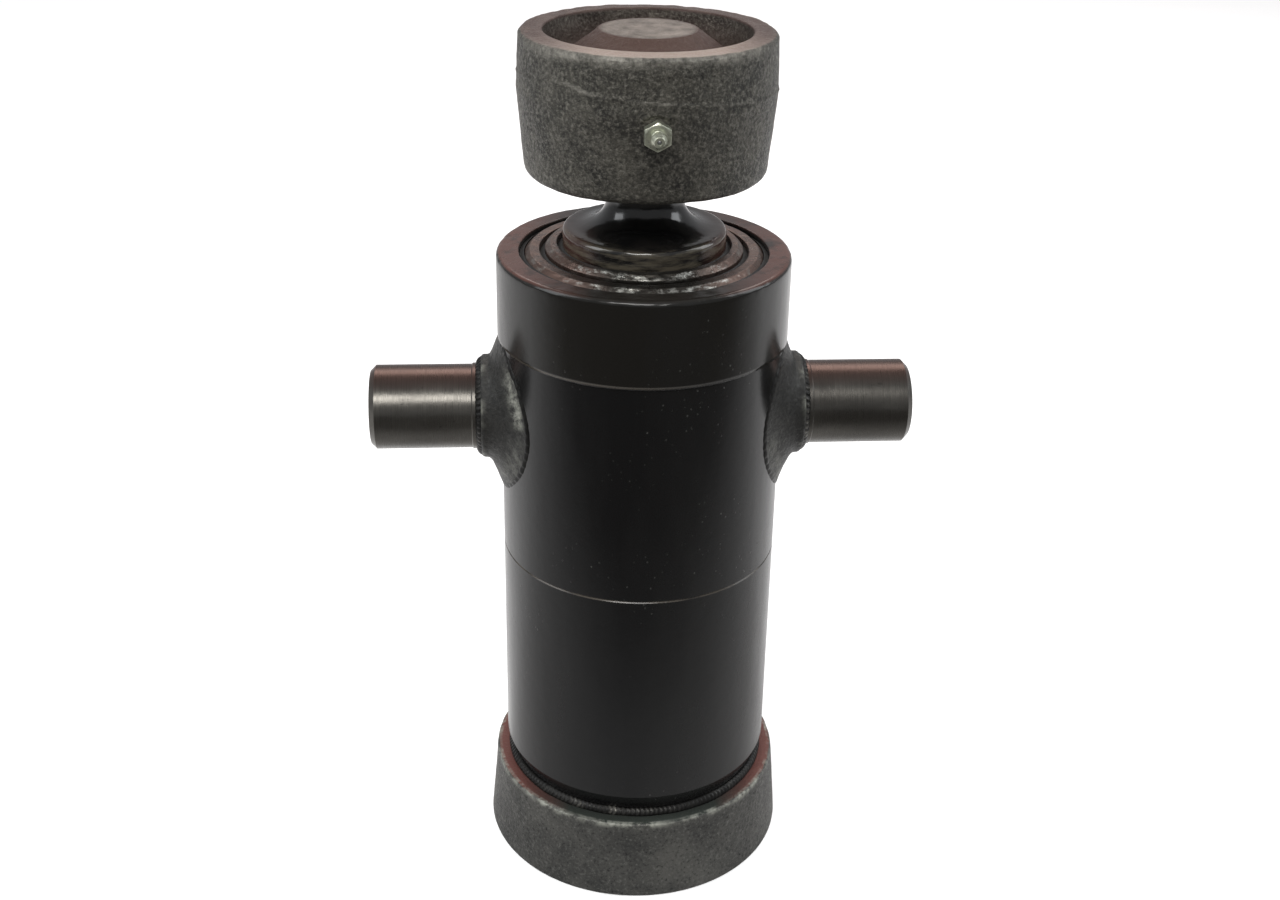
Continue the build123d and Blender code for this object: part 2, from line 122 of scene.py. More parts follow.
def denseAngles(count, *windows):
    # Evenly spaced angles in degrees, with a finer spacing inside each (middle, half width, step) window
    angles = [np.linspace(-180, 180, count, endpoint=False)]
    for middle, half, step in windows:
        angles.append(np.linspace(middle - half, middle + half, int(round(2 * half / step)) + 1))
    angles = np.unique(np.round(np.mod(np.concatenate(angles) + 180, 360) - 180, 4))
    keep = np.append(np.diff(angles) > 0.05, True)
    return angles[keep]


def turned(line, angles, dent=None):
    # Each point of the outline goes round the Z axis: x = r cos(a), y = r sin(a). dent moves a
    # point along the outline's normal by a distance of its own.
    turn = np.radians(angles)[None, :]
    normal = outlineNormals(line)
    radius = np.broadcast_to(line[:, :1], (len(line), len(angles))).copy()
    height = np.broadcast_to(line[:, 1:], (len(line), len(angles))).copy()
    if dent is not None:
        still = np.stack([radius * np.cos(turn), radius * np.sin(turn), height], axis=-1)
        depth = dent(still, line[:, None, :], angles[None, :])
        radius += normal[:, :1] * depth
        height += normal[:, 1:] * depth
    return np.stack([radius * np.cos(turn), radius * np.sin(turn), height], axis=-1)


def gridFaces(rows, columns, closed=True, start=0):
    # Quads between neighbouring rows and columns of a grid, counted row by row
    across = np.arange(columns if closed else columns - 1)
    row = np.arange(rows - 1)[:, None] * columns
    a = row + across
    b = row + (across + 1) % columns
    return start + np.stack([a, b, b + columns, a + columns], axis=-1).reshape(-1, 4)


def meshPiece(name, points, faces, poles=(), attributes=None):
    # Puts points and quads into a mesh. poles are (ring of vertex numbers, facing) pairs, each closed
    # by a fan of triangles to the middle of its ring.
    points = np.asarray(points, float).reshape(-1, 3)
    shapes = [tuple(face) for face in faces.tolist()]
    values = {key: np.asarray(value, float).ravel() for key, value in (attributes or {}).items()}
    for ring, facing in poles:
        ring = np.asarray(ring)
        if facing < 0:
            ring = ring[::-1]
        middle = len(points)
        points = np.vstack([points, points[ring].mean(axis=0)])
        values = {key: np.append(value, value[ring].mean()) for key, value in values.items()}
        shapes += [(int(a), int(b), middle) for a, b in zip(ring, np.roll(ring, -1))]
    mesh = bpy.data.meshes.new(name)
    mesh.from_pydata((points * mm).tolist(), [], shapes)
    for key, value in values.items():
        mesh.attributes.new(key, "FLOAT", "POINT").data.foreach_set("value", value.astype(np.float32))
    mesh.polygons.foreach_set("use_smooth", np.ones(len(mesh.polygons), bool))
    mesh.update()
    piece = bpy.data.objects.new(name, mesh)
    bpy.context.scene.collection.objects.link(piece)
    return piece


def weldDoubles(piece, distance):
    work = bmesh.new()
    work.from_mesh(piece.data)
    bmesh.ops.remove_doubles(work, verts=work.verts, dist=distance * mm)
    work.to_mesh(piece.data)
    work.free()


def place(piece, body, slot, material, *nodes):
    piece.data.materials.append(material)
    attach(piece, body)
    if nodes:
        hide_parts(*nodes)
    print("made", piece.name, len(piece.data.polygons), "faces")
    return piece


# Node helpers: each adds one node to a material and returns the socket that carries its result.
class Finish:
    def __init__(self, name, **settings):
        self.material = bpy.data.materials.new(name)
        self.material.use_nodes = True
        self.nodes = self.material.node_tree.nodes
        self.links = self.material.node_tree.links
        self.shader = self.nodes["Principled BSDF"]
        self.where = self.nodes.new("ShaderNodeTexCoord").outputs["Object"]
        for socket, value in settings.items():
            self.shader.inputs[socket.replace("_", " ")].default_value = value

    def feed(self, socket, value):
        if isinstance(value, bpy.types.NodeSocket):
            self.links.new(value, socket)
        elif isinstance(value, (tuple, list)) and len(value) == 3 and socket.type == "RGBA":
            socket.default_value = (*value, 1)
        else:
            socket.default_value = value

    def into(self, name, value):
        self.feed(self.shader.inputs[name], value)

    def stretched(self, x, y, z):
        node = self.nodes.new("ShaderNodeMapping")
        self.links.new(self.where, node.inputs["Vector"])
        node.inputs["Scale"].default_value = (x, y, z)
        return node.outputs["Vector"]

    def noise(self, scale, detail=3.0, rough=0.55, where=None, distortion=0.0):
        node = self.nodes.new("ShaderNodeTexNoise")
        self.links.new(where or self.where, node.inputs["Vector"])
        node.inputs["Scale"].default_value = scale
        node.inputs["Detail"].default_value = detail
        node.inputs["Roughness"].default_value = rough
        node.inputs["Distortion"].default_value = distortion
        return node.outputs["Fac"]

    def cells(self, scale, feature="F1", where=None):
        node = self.nodes.new("ShaderNodeTexVoronoi")
        node.feature = feature
        self.links.new(where or self.where, node.inputs["Vector"])
        node.inputs["Scale"].default_value = scale
        return node.outputs["Distance"]

    def remap(self, value, low, high, least=0.0, most=1.0):
        node = self.nodes.new("ShaderNodeMapRange")
        self.feed(node.inputs["Value"], value)
        node.inputs["From Min"].default_value = low
        node.inputs["From Max"].default_value = high
        node.inputs["To Min"].default_value = least
        node.inputs["To Max"].default_value = most
        return node.outputs["Result"]

    def sum(self, operation, first, second, third=None):
        node = self.nodes.new("ShaderNodeMath")
        node.operation = operation
        for socket, value in zip(node.inputs, (first, second, third)):
            if value is not None:
                self.feed(socket, value)
        return node.outputs["Value"]

    def blend(self, share, first, second):
        node = self.nodes.new("ShaderNodeMix")
        node.data_type = "RGBA"
        self.feed(node.inputs["Factor"], share)
        self.feed(node.inputs[6], first)
        self.feed(node.inputs[7], second)
        return node.outputs[2]

    def attribute(self, name):
        node = self.nodes.new("ShaderNodeAttribute")
        node.attribute_name = name
        return node.outputs["Fac"]

    def axis(self, name):
        node = self.nodes.new("ShaderNodeSeparateXYZ")
        self.links.new(self.where, node.inputs["Vector"])
        return node.outputs[name]

    def relief(self, height, distance, strength=1.0):
        node = self.nodes.new("ShaderNodeBump")
        node.inputs["Strength"].default_value = strength
        node.inputs["Distance"].default_value = distance
        self.links.new(height, node.inputs["Height"])
        previous = self.shader.inputs["Normal"].links
        if previous:
            self.links.new(previous[0].from_socket, node.inputs["Normal"])
        self.links.new(node.outputs["Normal"], self.shader.inputs["Normal"])


def distanceFromAxis(finish, first, second):
    # Square root of the sum of two squared coordinates
    a = finish.sum("POWER", finish.axis(first), 2.0)
    b = finish.sum("POWER", finish.axis(second), 2.0)
    return finish.sum("SQRT", finish.sum("ADD", a, b), 0.0)


blackPaint = dict(
    paint=(0.0045, 0.0045, 0.0048),
    head=(0.0085, 0.0078, 0.0066),
    paleReflection=(0.012, 0.012, 0.0118),
    speck=(0.085, 0.085, 0.080),
    line=(0.095, 0.082, 0.066),
    rimSideReflection=(0.105, 0.048, 0.038),
    rimDark=(0.016, 0.014, 0.012),
    scribe=0.1655,
    seam=0.2742,
    headTop=0.3133,
)


def near(f, value, place, reach):
    # 1 where the value is at the place, falling to 0 a reach away on either side
    return f.remap(f.sum("ABSOLUTE", f.sum("SUBTRACT", value, place), 0.0), reach, reach * 0.4)


def glossBlackPaint():
    # Gloss black over a rolled tube: pale vertical streaks of painted reflection, dust specks, more dust in a band
    # above the scribe, a browner head whose upper face turns to a painted red-brown reflection towards both sides, a
    # rubbed line at the scribe and a painted highlight along the seam
    b = blackPaint
    f = Finish("glossBlackPaint", Specular_IOR_Level=0.34)
    height = f.axis("Z")
    aside = f.sum("ABSOLUTE", f.axis("X"), 0.0)
    # painted reflection: pale vertical streaks over the black
    paleReflection = f.remap(f.noise(11, 5, 0.65, f.stretched(1, 1, 0.22)), 0.44, 0.74)
    colour = f.blend(f.remap(height, b["seam"] - 0.0002, b["seam"] + 0.0002), b["paint"], b["head"])
    colour = f.blend(paleReflection, colour, b["paleReflection"])
    # painted reflection: the head's upper face is dark in front and turns red-brown towards both sides
    rimColour = f.blend(f.remap(aside, 0.026, 0.056), b["rimDark"], b["rimSideReflection"])
    rimColour = f.blend(f.remap(f.noise(80, 4, 0.7), 0.52, 0.75), rimColour, b["rimDark"])
    colour = f.blend(f.remap(height, b["headTop"], b["headTop"] + 0.0008), colour, rimColour)
    rubbed = f.sum("MULTIPLY", near(f, height, b["scribe"], 0.0007), f.remap(f.noise(90, 4, 0.6), 0.36, 0.56, 0.2, 0.75))
    # a painted highlight along the seam under the head, strongest on the left; the scribe line beside it is rubbed
    # paint
    seamHighlight = f.sum("MULTIPLY", near(f, height, b["seam"], 0.0009),
                   f.remap(f.axis("X"), 0.028, -0.004, 0.10, 0.95))
    colour = f.blend(f.sum("MAXIMUM", rubbed, seamHighlight), colour, b["line"])
    band = f.sum("MULTIPLY", f.remap(height, b["scribe"], b["scribe"] + 0.003),
                 f.remap(height, b["scribe"] + 0.036, b["scribe"] + 0.012))
    dusty = f.remap(f.noise(26, 3), 0.52, 0.72)
    dusty = f.sum("MAXIMUM", dusty, f.sum("MULTIPLY", band, f.remap(f.noise(48, 3), 0.46, 0.60)))
    dots = f.remap(f.cells(330, where=f.stretched(1, 1, 0.8)), 0.20, 0.08)
    specks = f.sum("MULTIPLY", f.sum("MULTIPLY", dots, dusty), f.remap(f.noise(700, 2), 0.42, 0.62))
    colour = f.blend(specks, colour, b["speck"])
    f.into("Base Color", colour)
    smear = f.noise(16, 6, 0.66, f.stretched(1, 1, 0.3))
    f.into("Roughness", f.sum("ADD", f.remap(smear, 0.3, 0.7, 0.12, 0.32), f.sum("MULTIPLY", specks, 0.35)))
    f.relief(f.noise(24, 3, 0.5, f.stretched(1, 1, 0.35)), 0.0012, 0.35)
    f.relief(f.noise(160, 3), 0.00018, 0.35)
    f.relief(specks, 0.0001, 0.5)
    return f.material


def forgedSkin():
    # Scaled forging: fine grain in olive grey, with machined, worn and rough places from the piece's own attributes; a
    # painted highlight across the front of the rim's top face, and a painted highlight mixed with chips on the front
    # of the rounded upper edge
    f = Finish("forgedSkin", Metallic=0.55, Specular_IOR_Level=0.4)
    grain = f.noise(620, 5, 0.72)
    patches = f.noise(55, 6, 0.7)
    colour = f.blend(f.remap(patches, 0.36, 0.66), (0.026, 0.025, 0.022), (0.086, 0.081, 0.068))
    colour = f.blend(f.remap(grain, 0.48, 0.70), colour, (0.185, 0.176, 0.150))
    colour = f.blend(f.remap(grain, 0.44, 0.30), colour, (0.010, 0.010, 0.0095))
    colour = f.blend(f.attribute("recess"), colour, (0.078, 0.046, 0.037))
    rings = f.sum("SINE", f.sum("MULTIPLY", distanceFromAxis(f, "X", "Y"), 9500.0), 0.0)
    machined = f.blend(f.remap(f.noise(120, 4), 0.35, 0.7), (0.115, 0.098, 0.083), (0.27, 0.235, 0.205))
    aside = f.remap(f.sum("ABSOLUTE", f.axis("X"), 0.0), 0.026, 0.052)
    # front: a painted highlight across the front of the rim's top face
    front = f.sum("MULTIPLY", f.remap(aside, 1, 0), f.remap(f.axis("Y"), 0.0, -0.03))
    rim = f.blend(f.remap(f.noise(60, 4), 0.35, 0.7), (0.062, 0.038, 0.033), (0.110, 0.078, 0.067))
    rim = f.blend(front, rim, (0.330, 0.265, 0.228))
    colour = f.blend(f.attribute("rim"), colour, rim)
    colour = f.blend(f.attribute("disc"), colour, machined)
    # chips, a rubbed flash line and a painted highlight on the front of the rounded upper edge
    wearAndHighlight = f.sum("MULTIPLY", f.attribute("wearAndHighlight"), f.remap(f.noise(260, 4, 0.7), 0.30, 0.66))
    colour = f.blend(wearAndHighlight, colour, (0.34, 0.325, 0.285))
    f.into("Base Color", colour)
    f.into("Roughness", f.remap(grain, 0.3, 0.75, 0.58, 0.30))
    f.relief(grain, 0.0009, 0.8)
    f.relief(f.noise(210, 5, 0.65), 0.0012, 0.6)
    f.relief(rings, 0.00002, 0.4)
    return f.material


def castSkin():
    # Sand-cast steel under a thin black wash, bright where its edges are chipped, with a painted highlight on the
    # front of the saddles' boss edges and a rim face that turns to a painted red-brown reflection towards both sides
    f = Finish("castSkin", Metallic=0.35, Specular_IOR_Level=0.4)
    grain = f.noise(620, 4, 0.7)
    patches = f.noise(38, 5, 0.62)
    colour = f.blend(f.remap(patches, 0.34, 0.7), (0.034, 0.034, 0.032), (0.090, 0.088, 0.080))
    colour = f.blend(f.remap(grain, 0.54, 0.76), colour, (0.150, 0.150, 0.136))
    colour = f.blend(f.remap(grain, 0.44, 0.32), colour, (0.010, 0.010, 0.0095))
    # painted reflection: the rim's top face is greenish grey in front and red-brown towards both sides
    aside = f.remap(f.sum("ABSOLUTE", f.axis("X"), 0.0), 0.036, 0.060)
    ring = f.blend(aside, (0.040, 0.046, 0.040), (0.150, 0.060, 0.050))
    colour = f.blend(f.attribute("rim"), colour, ring)
    colour = f.blend(f.attribute("painted"), colour, (0.0075, 0.0075, 0.0072))
    # chips and ground flats, with a painted highlight on the front of the saddles' boss edges
    wearAndHighlight = f.sum("MULTIPLY", f.attribute("wearAndHighlight"), f.remap(f.noise(190, 4, 0.7), 0.40, 0.60))
    colour = f.blend(wearAndHighlight, colour, (0.34, 0.345, 0.30))
    f.into("Base Color", colour)
    f.into("Roughness", f.remap(grain, 0.3, 0.75, 0.58, 0.36))
    f.relief(grain, 0.0006, 0.7)
    f.relief(f.noise(150, 4, 0.6), 0.0010, 0.5)
    return f.material


def weldMetal():
    # Wire-fed bead: dull between its ripples, brighter and scratched along their crests, with a painted highlight on
    # the crests that face the light (front-left of the root bead, front of the pin beads)
    f = Finish("weldMetal", Metallic=0.6, Specular_IOR_Level=0.4)
    crest = f.sum("MULTIPLY", f.attribute("wearAndHighlight"), f.remap(f.noise(230, 4, 0.7), 0.42, 0.62))
    colour = f.blend(crest, (0.0085, 0.0082, 0.0076), (0.26, 0.25, 0.22))
    f.into("Base Color", colour)
    f.into("Roughness", f.remap(f.noise(400, 3), 0.3, 0.7, 0.30, 0.5))
    f.relief(f.noise(700, 3), 0.0003, 0.5)
    return f.material


def turnedSteel():
    # Trunnion pins: oiled, darkened steel with faint tool marks round the X axis and a painted red-brown reflection of
    # the warm back light along the top
    f = Finish("turnedSteel", Metallic=0.85, Specular_IOR_Level=0.4)
    marks = f.noise(1, 3, 0.6, f.stretched(1700, 10, 10))
    stain = f.noise(34, 5, 0.62, f.stretched(0.5, 1, 1))
    colour = f.blend(f.remap(stain, 0.35, 0.7), (0.068, 0.064, 0.058), (0.130, 0.124, 0.112))
    # painted reflection: red-brown along the top of the pins
    top = f.remap(f.axis("Z"), 0.2500, 0.2545)
    colour = f.blend(top, colour, (0.088, 0.056, 0.047))
    colour = f.blend(f.remap(f.noise(120, 5, 0.75, f.stretched(0.5, 1, 1)), 0.64, 0.72), colour, (0.030, 0.028, 0.026))
    f.into("Base Color", colour)
    f.into("Roughness", f.remap(marks, 0.3, 0.7, 0.24, 0.34))
    f.relief(marks, 0.00004, 0.4)
    f.relief(f.noise(300, 3), 0.0002, 0.25)
    return f.material


def tubeSteel(name, dark, bright, side, rough):
    # Ground tube under oil: dark in front and turning to a painted brown reflection towards both sides, with bright
    # scratches that run round the Z axis, raised into a painted highlight along the front of the rim's edge
    f = Finish(name, Metallic=0.8, Specular_IOR_Level=0.4)
    marks = f.noise(1, 3, 0.6, f.stretched(12, 12, 2400))
    # painted reflection: the colour turns from the front tone to the side tone towards both sides
    aside = f.remap(f.sum("ABSOLUTE", f.axis("X"), 0.0), 0.016, 0.042)
    colour = f.blend(aside, dark, side)
    scratch = f.remap(f.noise(150, 5, 0.72, f.stretched(1, 1, 2.5)), 0.50, 0.66)
    # bright scratches, raised into a painted highlight along the rim's front edge
    colour = f.blend(f.sum("MULTIPLY", scratch, f.remap(f.attribute("wearAndHighlight"), 0, 0.6, 0.10, 1.0)), colour, bright)
    f.into("Base Color", colour)
    f.into("Roughness", f.remap(f.noise(160, 4), 0.3, 0.7, rough, rough + 0.18))
    f.relief(marks, 0.00008, 0.4)
    f.relief(f.noise(230, 5, 0.7), 0.0009, 0.5)
    return f.material


def ballEndBlack():
    # Wet gloss black with golden streaks of painted reflection on the polished side below its edge, and a painted
    # red-brown reflection towards both sides low on the neck
    f = Finish("ballEndBlack", Specular_IOR_Level=0.55)
    low = f.remap(f.axis("Z"), 0.3262, 0.3252)
    # golden streaks of painted reflection on the polished side
    goldReflection = f.remap(f.noise(60, 5, 0.65, f.stretched(1, 1, 6)), 0.42, 0.62)
    colour = f.blend(f.remap(f.noise(40, 4), 0.4, 0.7), (0.0055, 0.0055, 0.0055), (0.014, 0.0125, 0.0115))
    # painted reflection: red-brown towards both sides, low on the neck
    redReflection = f.remap(f.sum("ABSOLUTE", f.axis("X"), 0.0), 0.022, 0.036)
    colour = f.blend(f.sum("MULTIPLY", redReflection, f.remap(f.axis("Z"), 0.345, 0.330)), colour, (0.055, 0.026, 0.021))
    colour = f.blend(f.sum("MULTIPLY", f.sum("MULTIPLY", low, goldReflection), 0.62), colour, (0.115, 0.100, 0.074))
    f.into("Base Color", colour)
    f.into("Roughness", f.remap(f.noise(120, 3), 0.3, 0.7, 0.08, 0.22))
    f.relief(f.noise(75, 3), 0.0006, 0.4)
    return f.material


def plainFinish(name, colour, spot, rough, grain, relief, **settings):
    # Two tones in small patches over one grain
    f = Finish(name, **settings)
    patch = f.remap(f.noise(grain / 4, 4, 0.6), 0.35, 0.68)
    f.into("Base Color", f.blend(patch, colour, spot))
    f.into("Roughness", f.remap(f.noise(grain, 3), 0.3, 0.7, rough, rough + 0.15))
    f.relief(f.noise(grain, 3), relief, 0.5)
    return f.material


paint = glossBlackPaint()
forging = forgedSkin()
casting = castSkin()
bead = weldMetal()
pinSteel = turnedSteel()
rimSteel = tubeSteel("groundTube", (0.034, 0.031, 0.027), (0.42, 0.42, 0.39), (0.120, 0.078, 0.064), 0.22)
plungerSteel = tubeSteel("polishedPlunger", (0.24, 0.22, 0.18), (0.40, 0.37, 0.31), (0.22, 0.20, 0.17), 0.12)
wetBlack = ballEndBlack()
zinc = plainFinish("zincPlate", (0.36, 0.38, 0.30), (0.55, 0.56, 0.46), 0.24, 900, 0.0001, Metallic=0.85)
springWire = plainFinish("springWire", (0.22, 0.22, 0.22), (0.36, 0.36, 0.35), 0.28, 700, 0.0001, Metallic=0.85)
wiperRubber = plainFinish("wiperRubber", (0.010, 0.010, 0.010), (0.02, 0.02, 0.02), 0.55, 500, 0.0002)
sealRubber = plainFinish("sealRubber", (0.012, 0.03, 0.02), (0.02, 0.045, 0.03), 0.5, 500, 0.0002)
guideResin = plainFinish("guideResin", (0.14, 0.07, 0.035), (0.2, 0.11, 0.06), 0.5, 600, 0.0002)
print("materials made:", len(bpy.data.materials))

nodeFinish = {
    "barrel_tube": paint,
    "gland_head": paint,
    "trunnion_pin": pinSteel,
    "stage_1_tube": rimSteel,
    "stage_2_tube": rimSteel,
    "plunger_tube": plungerSteel,
    "plunger_plug": pinSteel,
    "ball_end": wetBlack,
    "snap_ring": springWire,
    "stop_ring": springWire,
    "check_ball": springWire,
    "wiper": wiperRubber,
    "rod_seal": sealRubber,
    "guide": guideResin,
}
for name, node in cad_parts.items():
    for part, material in nodeFinish.items():
        if part in name:
            node.data.materials.clear()
            node.data.materials.append(material)
            break

cupLow, cupHigh = nodeBox("ball_cup")
cup = dict(
    top=cupHigh[2],
    bottom=cupLow[2],
    widest=cupHigh[0],
    upperDraft=0.8,
    lowerDraft=3.4,
    lowerRounding=4.0,
    rimWidth=11.0,
    recessDepth=14.0,
    recessDraft=1.5,
    trough=4.6,
    discRadius=21.8,
    ballHeight=376.0,
    cavityRadius=30.3,
    wireRadius=3.1,
    wireRing=30.5,
    wireDrop=13.37,
    # height of the flash line at angles from the front, counted towards the left
    flashAngles=(-90, -54, 0, 30, 43, 60, 90, 180),
    flashHeights=(391.0, 392.7, 396.6, 399.0, 402.5, 400.0, 397.5, 392.5),
    flashDepth=0.42,
    flashWidth=0.55,
    dieStep=0.12,
    nippleHeight=384.0,
    spotPlane=56.9,
    spotRadius=7.5,
)


def cupFlash(angles):
    # The flash line's height by angle: straight runs between the stated places, then averaged over 8 degrees
    left = np.mod(-90 - angles + 180, 360) - 180
    wide = np.linspace(-4, 4, 9)
    heights = [np.interp(left + w, cup["flashAngles"], cup["flashHeights"], period=360) for w in wide]
    return np.mean(heights, axis=0)


def cupDent(points, line, angles):
    # Forged unevenness everywhere but on turned faces, a raised flash ridge that breaks off in places,
    # a small step between the two dies, and a knocked upper edge.
    radius, height = line[..., 0], line[..., 1]
    outside = smooth((radius - 48) / 4)
    uneven = 0.16 * lumps(points, 13, 3) + 0.09 * lumps(points, 4.2, 5) + 0.05 * lumps(points, 1.6, 7)
    flash = cupFlash(angles)
    ridge = np.exp(-(((height - flash) / cup["flashWidth"]) ** 2)) * (0.55 + 0.45 * lumps(points, 7, 11))
    step = cup["dieStep"] * smooth((height - flash) / 0.8)
    depth = outside * (uneven - 0.15 + cup["flashDepth"] * ridge - step)
    edge = np.exp(-(((height - cup["top"]) / 1.8) ** 2)) * smooth((radius - 53.5) / 1.5)
    depth -= edge * np.clip(0.25 + 0.75 * lumps(points, 3.6, 13), 0, 1) * 0.35
    recess = smooth((cup["top"] - 0.6 - height) / 1.5) * smooth((47.5 - radius) / 1.0) * smooth((radius - 20) / 2)
    recess *= smooth((height - cup["top"] + 16) / 1.0)
    depth += recess * (0.30 * lumps(points, 8, 17) + 0.14 * lumps(points, 2.6, 19) - 0.1)
    return depth


def makeCup():
    # A closed outline turned about Z: up the socket from its pole, out along the underside, up the drafted
    # side, over the rim, down the recess and up the cone to the disc. Round the nipple the side is
    # brought back to a flat spot face: y = -spotPlane inside spotRadius.
    c = cup
    widest = c["widest"]
    topRadius = widest - c["upperDraft"]
    bottomRadius = widest - c["lowerDraft"]
    parting = c["top"] - 24.5
    rim = topRadius - c["rimWidth"]
    floorRadius = rim - c["recessDraft"]
    floor = c["top"] - c["recessDepth"]
    cavity = c["cavityRadius"]
    dome = np.radians(np.linspace(87, 0, 22))
    dome = np.stack([cavity * np.cos(dome), c["ballHeight"] + cavity * np.sin(dome)], axis=1)
    groove = np.radians(np.linspace(94, -94, 16))
    wire = c["ballHeight"] - c["wireDrop"]
    groove = np.stack([c["wireRing"] + c["wireRadius"] * np.cos(groove), wire + c["wireRadius"] * np.sin(groove)], axis=1)
    outside = outlineThrough([
        (cavity, c["bottom"] + 2, 0, 1),
        (cavity + 2, c["bottom"], 0, 2),
        (bottomRadius, c["bottom"], c["lowerRounding"], 1.0),
        (bottomRadius + 1.55, 374.0, 0, 0.4),
        (bottomRadius + 2.6, 394.0, 0, 0.8),
        (widest - 0.6, c["top"] - 12.0, 0, 0.6),
        (topRadius, c["top"], 2.3, 0.6),
        (rim, c["top"], 0.7, 1.0),
        (floorRadius, floor, 1.0, 1.0),
        (floorRadius - c["trough"], floor, 2.0, 1.0),
        (c["discRadius"], c["top"], 0.5, 2.5),
        (1.0, c["top"], 0, 1),
    ])
    # the drafted side follows the two die halves
    side = (outside[:, 0] > 50) & (outside[:, 1] > c["bottom"] + 4) & (outside[:, 1] < c["top"] - 1.2)
    share = (outside[:, 1] - c["bottom"]) / (parting - c["bottom"])
    lower = bottomRadius + c["lowerDraft"] * share
    upper = widest - c["upperDraft"] * (outside[:, 1] - parting) / (c["top"] - parting)
    outside[side, 0] = np.where(outside[side, 1] < parting, lower[side], upper[side])
    line = np.vstack([dome, groove, outside])
    angles = denseAngles(300, (-90, 10, 0.4))
    points = turned(line, angles, cupDent)
    away = np.hypot(points[..., 0], points[..., 2] - c["nippleHeight"])
    front = (points[..., 1] < -50) & (away < c["spotRadius"] + 1)
    flat = smooth((c["spotRadius"] + 0.3 - away) / 0.6) * front
    points[..., 1] += (-c["spotPlane"] - points[..., 1]) * flat
    radius, height = np.broadcast_arrays(line[:, :1], line[:, 1:])
    radius = np.broadcast_to(line[:, :1], points.shape[:2])
    height = np.broadcast_to(line[:, 1:], points.shape[:2])
    onTop = height > c["top"] - 0.9
    flash = cupFlash(angles)[None, :]
    # crest is wear along the flash line; edge, weighted by facing towards the front, is a painted highlight on the
    # rounded upper edge, broken by chips
    crest = np.exp(-(((height - flash) / 0.5) ** 2)) * (radius > 50)
    edge = np.exp(-(((height - c["top"] + 2.0) / 2.4) ** 2)) * (radius > 54)
    facing = 0.25 + 0.75 * smooth((np.cos(np.radians(angles + 98)) - 0.35) / 0.5)[None, :]
    attributes = {
        "rim": onTop & (radius > rim - 0.5) & (radius < topRadius - 1.2),
        "recess": (height > floor - 1) * smooth((rim + 1.0 - radius) / 4) * (radius > c["discRadius"] - 0.3),
        "disc": onTop & (radius < c["discRadius"] - 0.2),
        "wearAndHighlight": np.clip(0.6 * crest * (0.3 + lumps(points, 16, 23)) + edge * facing * (0.75 + 0.5 * lumps(points, 9, 29)), 0, 1),
    }
    rows, columns = points.shape[:2]
    poles = [(np.arange(columns), -1), (np.arange((rows - 1) * columns, rows * columns), 1)]
    return meshPiece("forged_cup", points, gridFaces(rows, columns), poles, attributes)


place(makeCup(), "cup", "forged_cup", forging, "ball_cup")

baseLow, baseHigh = nodeBox("base_cap")
barrelRadius = nodeBox("barrel_tube")[1][0]
base = dict(
    height=42.0,
    foot=75.6,
    top=72.0,
    footRounding=1.5,
    topRounding=1.3,
    chip=0.55,
    windowHalf=16.5,
    windowLow=1.9,
    windowHigh=40.2,
    portHeight=21.0,
    portFace=70.8,
    portRadius=18.5,
    threadCore=12.06,
    threadDepth=1.05,
    threadPitch=1.814,
    threadLength=16.0,
    oilway=7.0,
)


def baseDent(points, line, angles):
    # Cast unevenness on the side, and bites out of the upper edge
    radius, height = line[..., 0], line[..., 1]
    outside = smooth((radius - 68) / 3)
    uneven = 0.20 * lumps(points, 15, 31) + 0.10 * lumps(points, 4.5, 33) + 0.05 * lumps(points, 1.7, 35) - 0.2
    edge = np.exp(-(((height - base["height"]) / 1.3) ** 2)) * smooth((radius - 69.5) / 1.5)
    bites = np.clip(0.25 + 0.9 * lumps(points, 5.5, 37) + 0.3 * lumps(points, 2.2, 39), 0, 1)
    return outside * uneven * smooth((height - 0.4) / 1.2) - edge * bites * base["chip"]


def baseSide(height):
    return base["foot"] - (base["foot"] - base["top"]) * height / base["height"]


def portPatch(border, columns):
    # Rings from the window's border to the spot face, then in along the thread. Between border and
    # spot face a point's angle and height are mixed straight from one to the other; the thread's
    # radius is its core plus a triangle wave of depth over pitch that shifts once round each turn.
    b = base
    round_ = np.arctan2(border[:, 2] - b["portHeight"], -border[:, 0])
    rings = []
    for share in (0.34, 0.67, 1.0):
        x = border[:, 0] * (1 - share) - share * b["portRadius"] * np.cos(round_)
        z = border[:, 2] * (1 - share) + share * (b["portHeight"] + b["portRadius"] * np.sin(round_))
        skin = np.sqrt(baseSide(z) ** 2 - x**2)
        y = border[:, 1] + (skin - border[:, 1]) * min(1, share * 1.2)
        rings.append(np.stack([x, y, z], axis=1))

    def ring(radius, y):
        return np.stack([-radius * np.cos(round_), np.full_like(round_, y) if np.isscalar(y) else y,
                         b["portHeight"] + radius * np.sin(round_)], axis=1)

    rings.append(ring(b["portRadius"] - 0.1, b["portFace"] + 0.15))
    rings.append(ring(b["portRadius"] - 0.5, b["portFace"]))
    rings.append(ring(b["threadCore"] + b["threadDepth"] + 0.6, b["portFace"]))
    inward = np.arange(0.4, b["threadLength"], b["threadPitch"] / 10)
    for depth in inward:
        phase = np.mod(depth / b["threadPitch"] - round_ / (2 * np.pi), 1)
        wave = 1 - np.abs(2 * phase - 1)
        fade = smooth((depth - 0.2) / 1.2) * smooth((b["threadLength"] - depth) / 2.0)
        start = (1 - smooth(depth / 1.4)) * 1.2
        rings.append(ring(b["threadCore"] + start + b["threadDepth"] * wave * fade, b["portFace"] - depth))
    rings.append(ring(b["threadCore"], b["portFace"] - b["threadLength"]))
    rings.append(ring(b["oilway"] + 0.4, b["portFace"] - b["threadLength"]))
    rings.append(ring(b["oilway"], b["portFace"] - b["threadLength"] - 0.5))
    rings.append(ring(b["oilway"], b["portFace"] - b["threadLength"] - 30))
    return np.stack(rings)


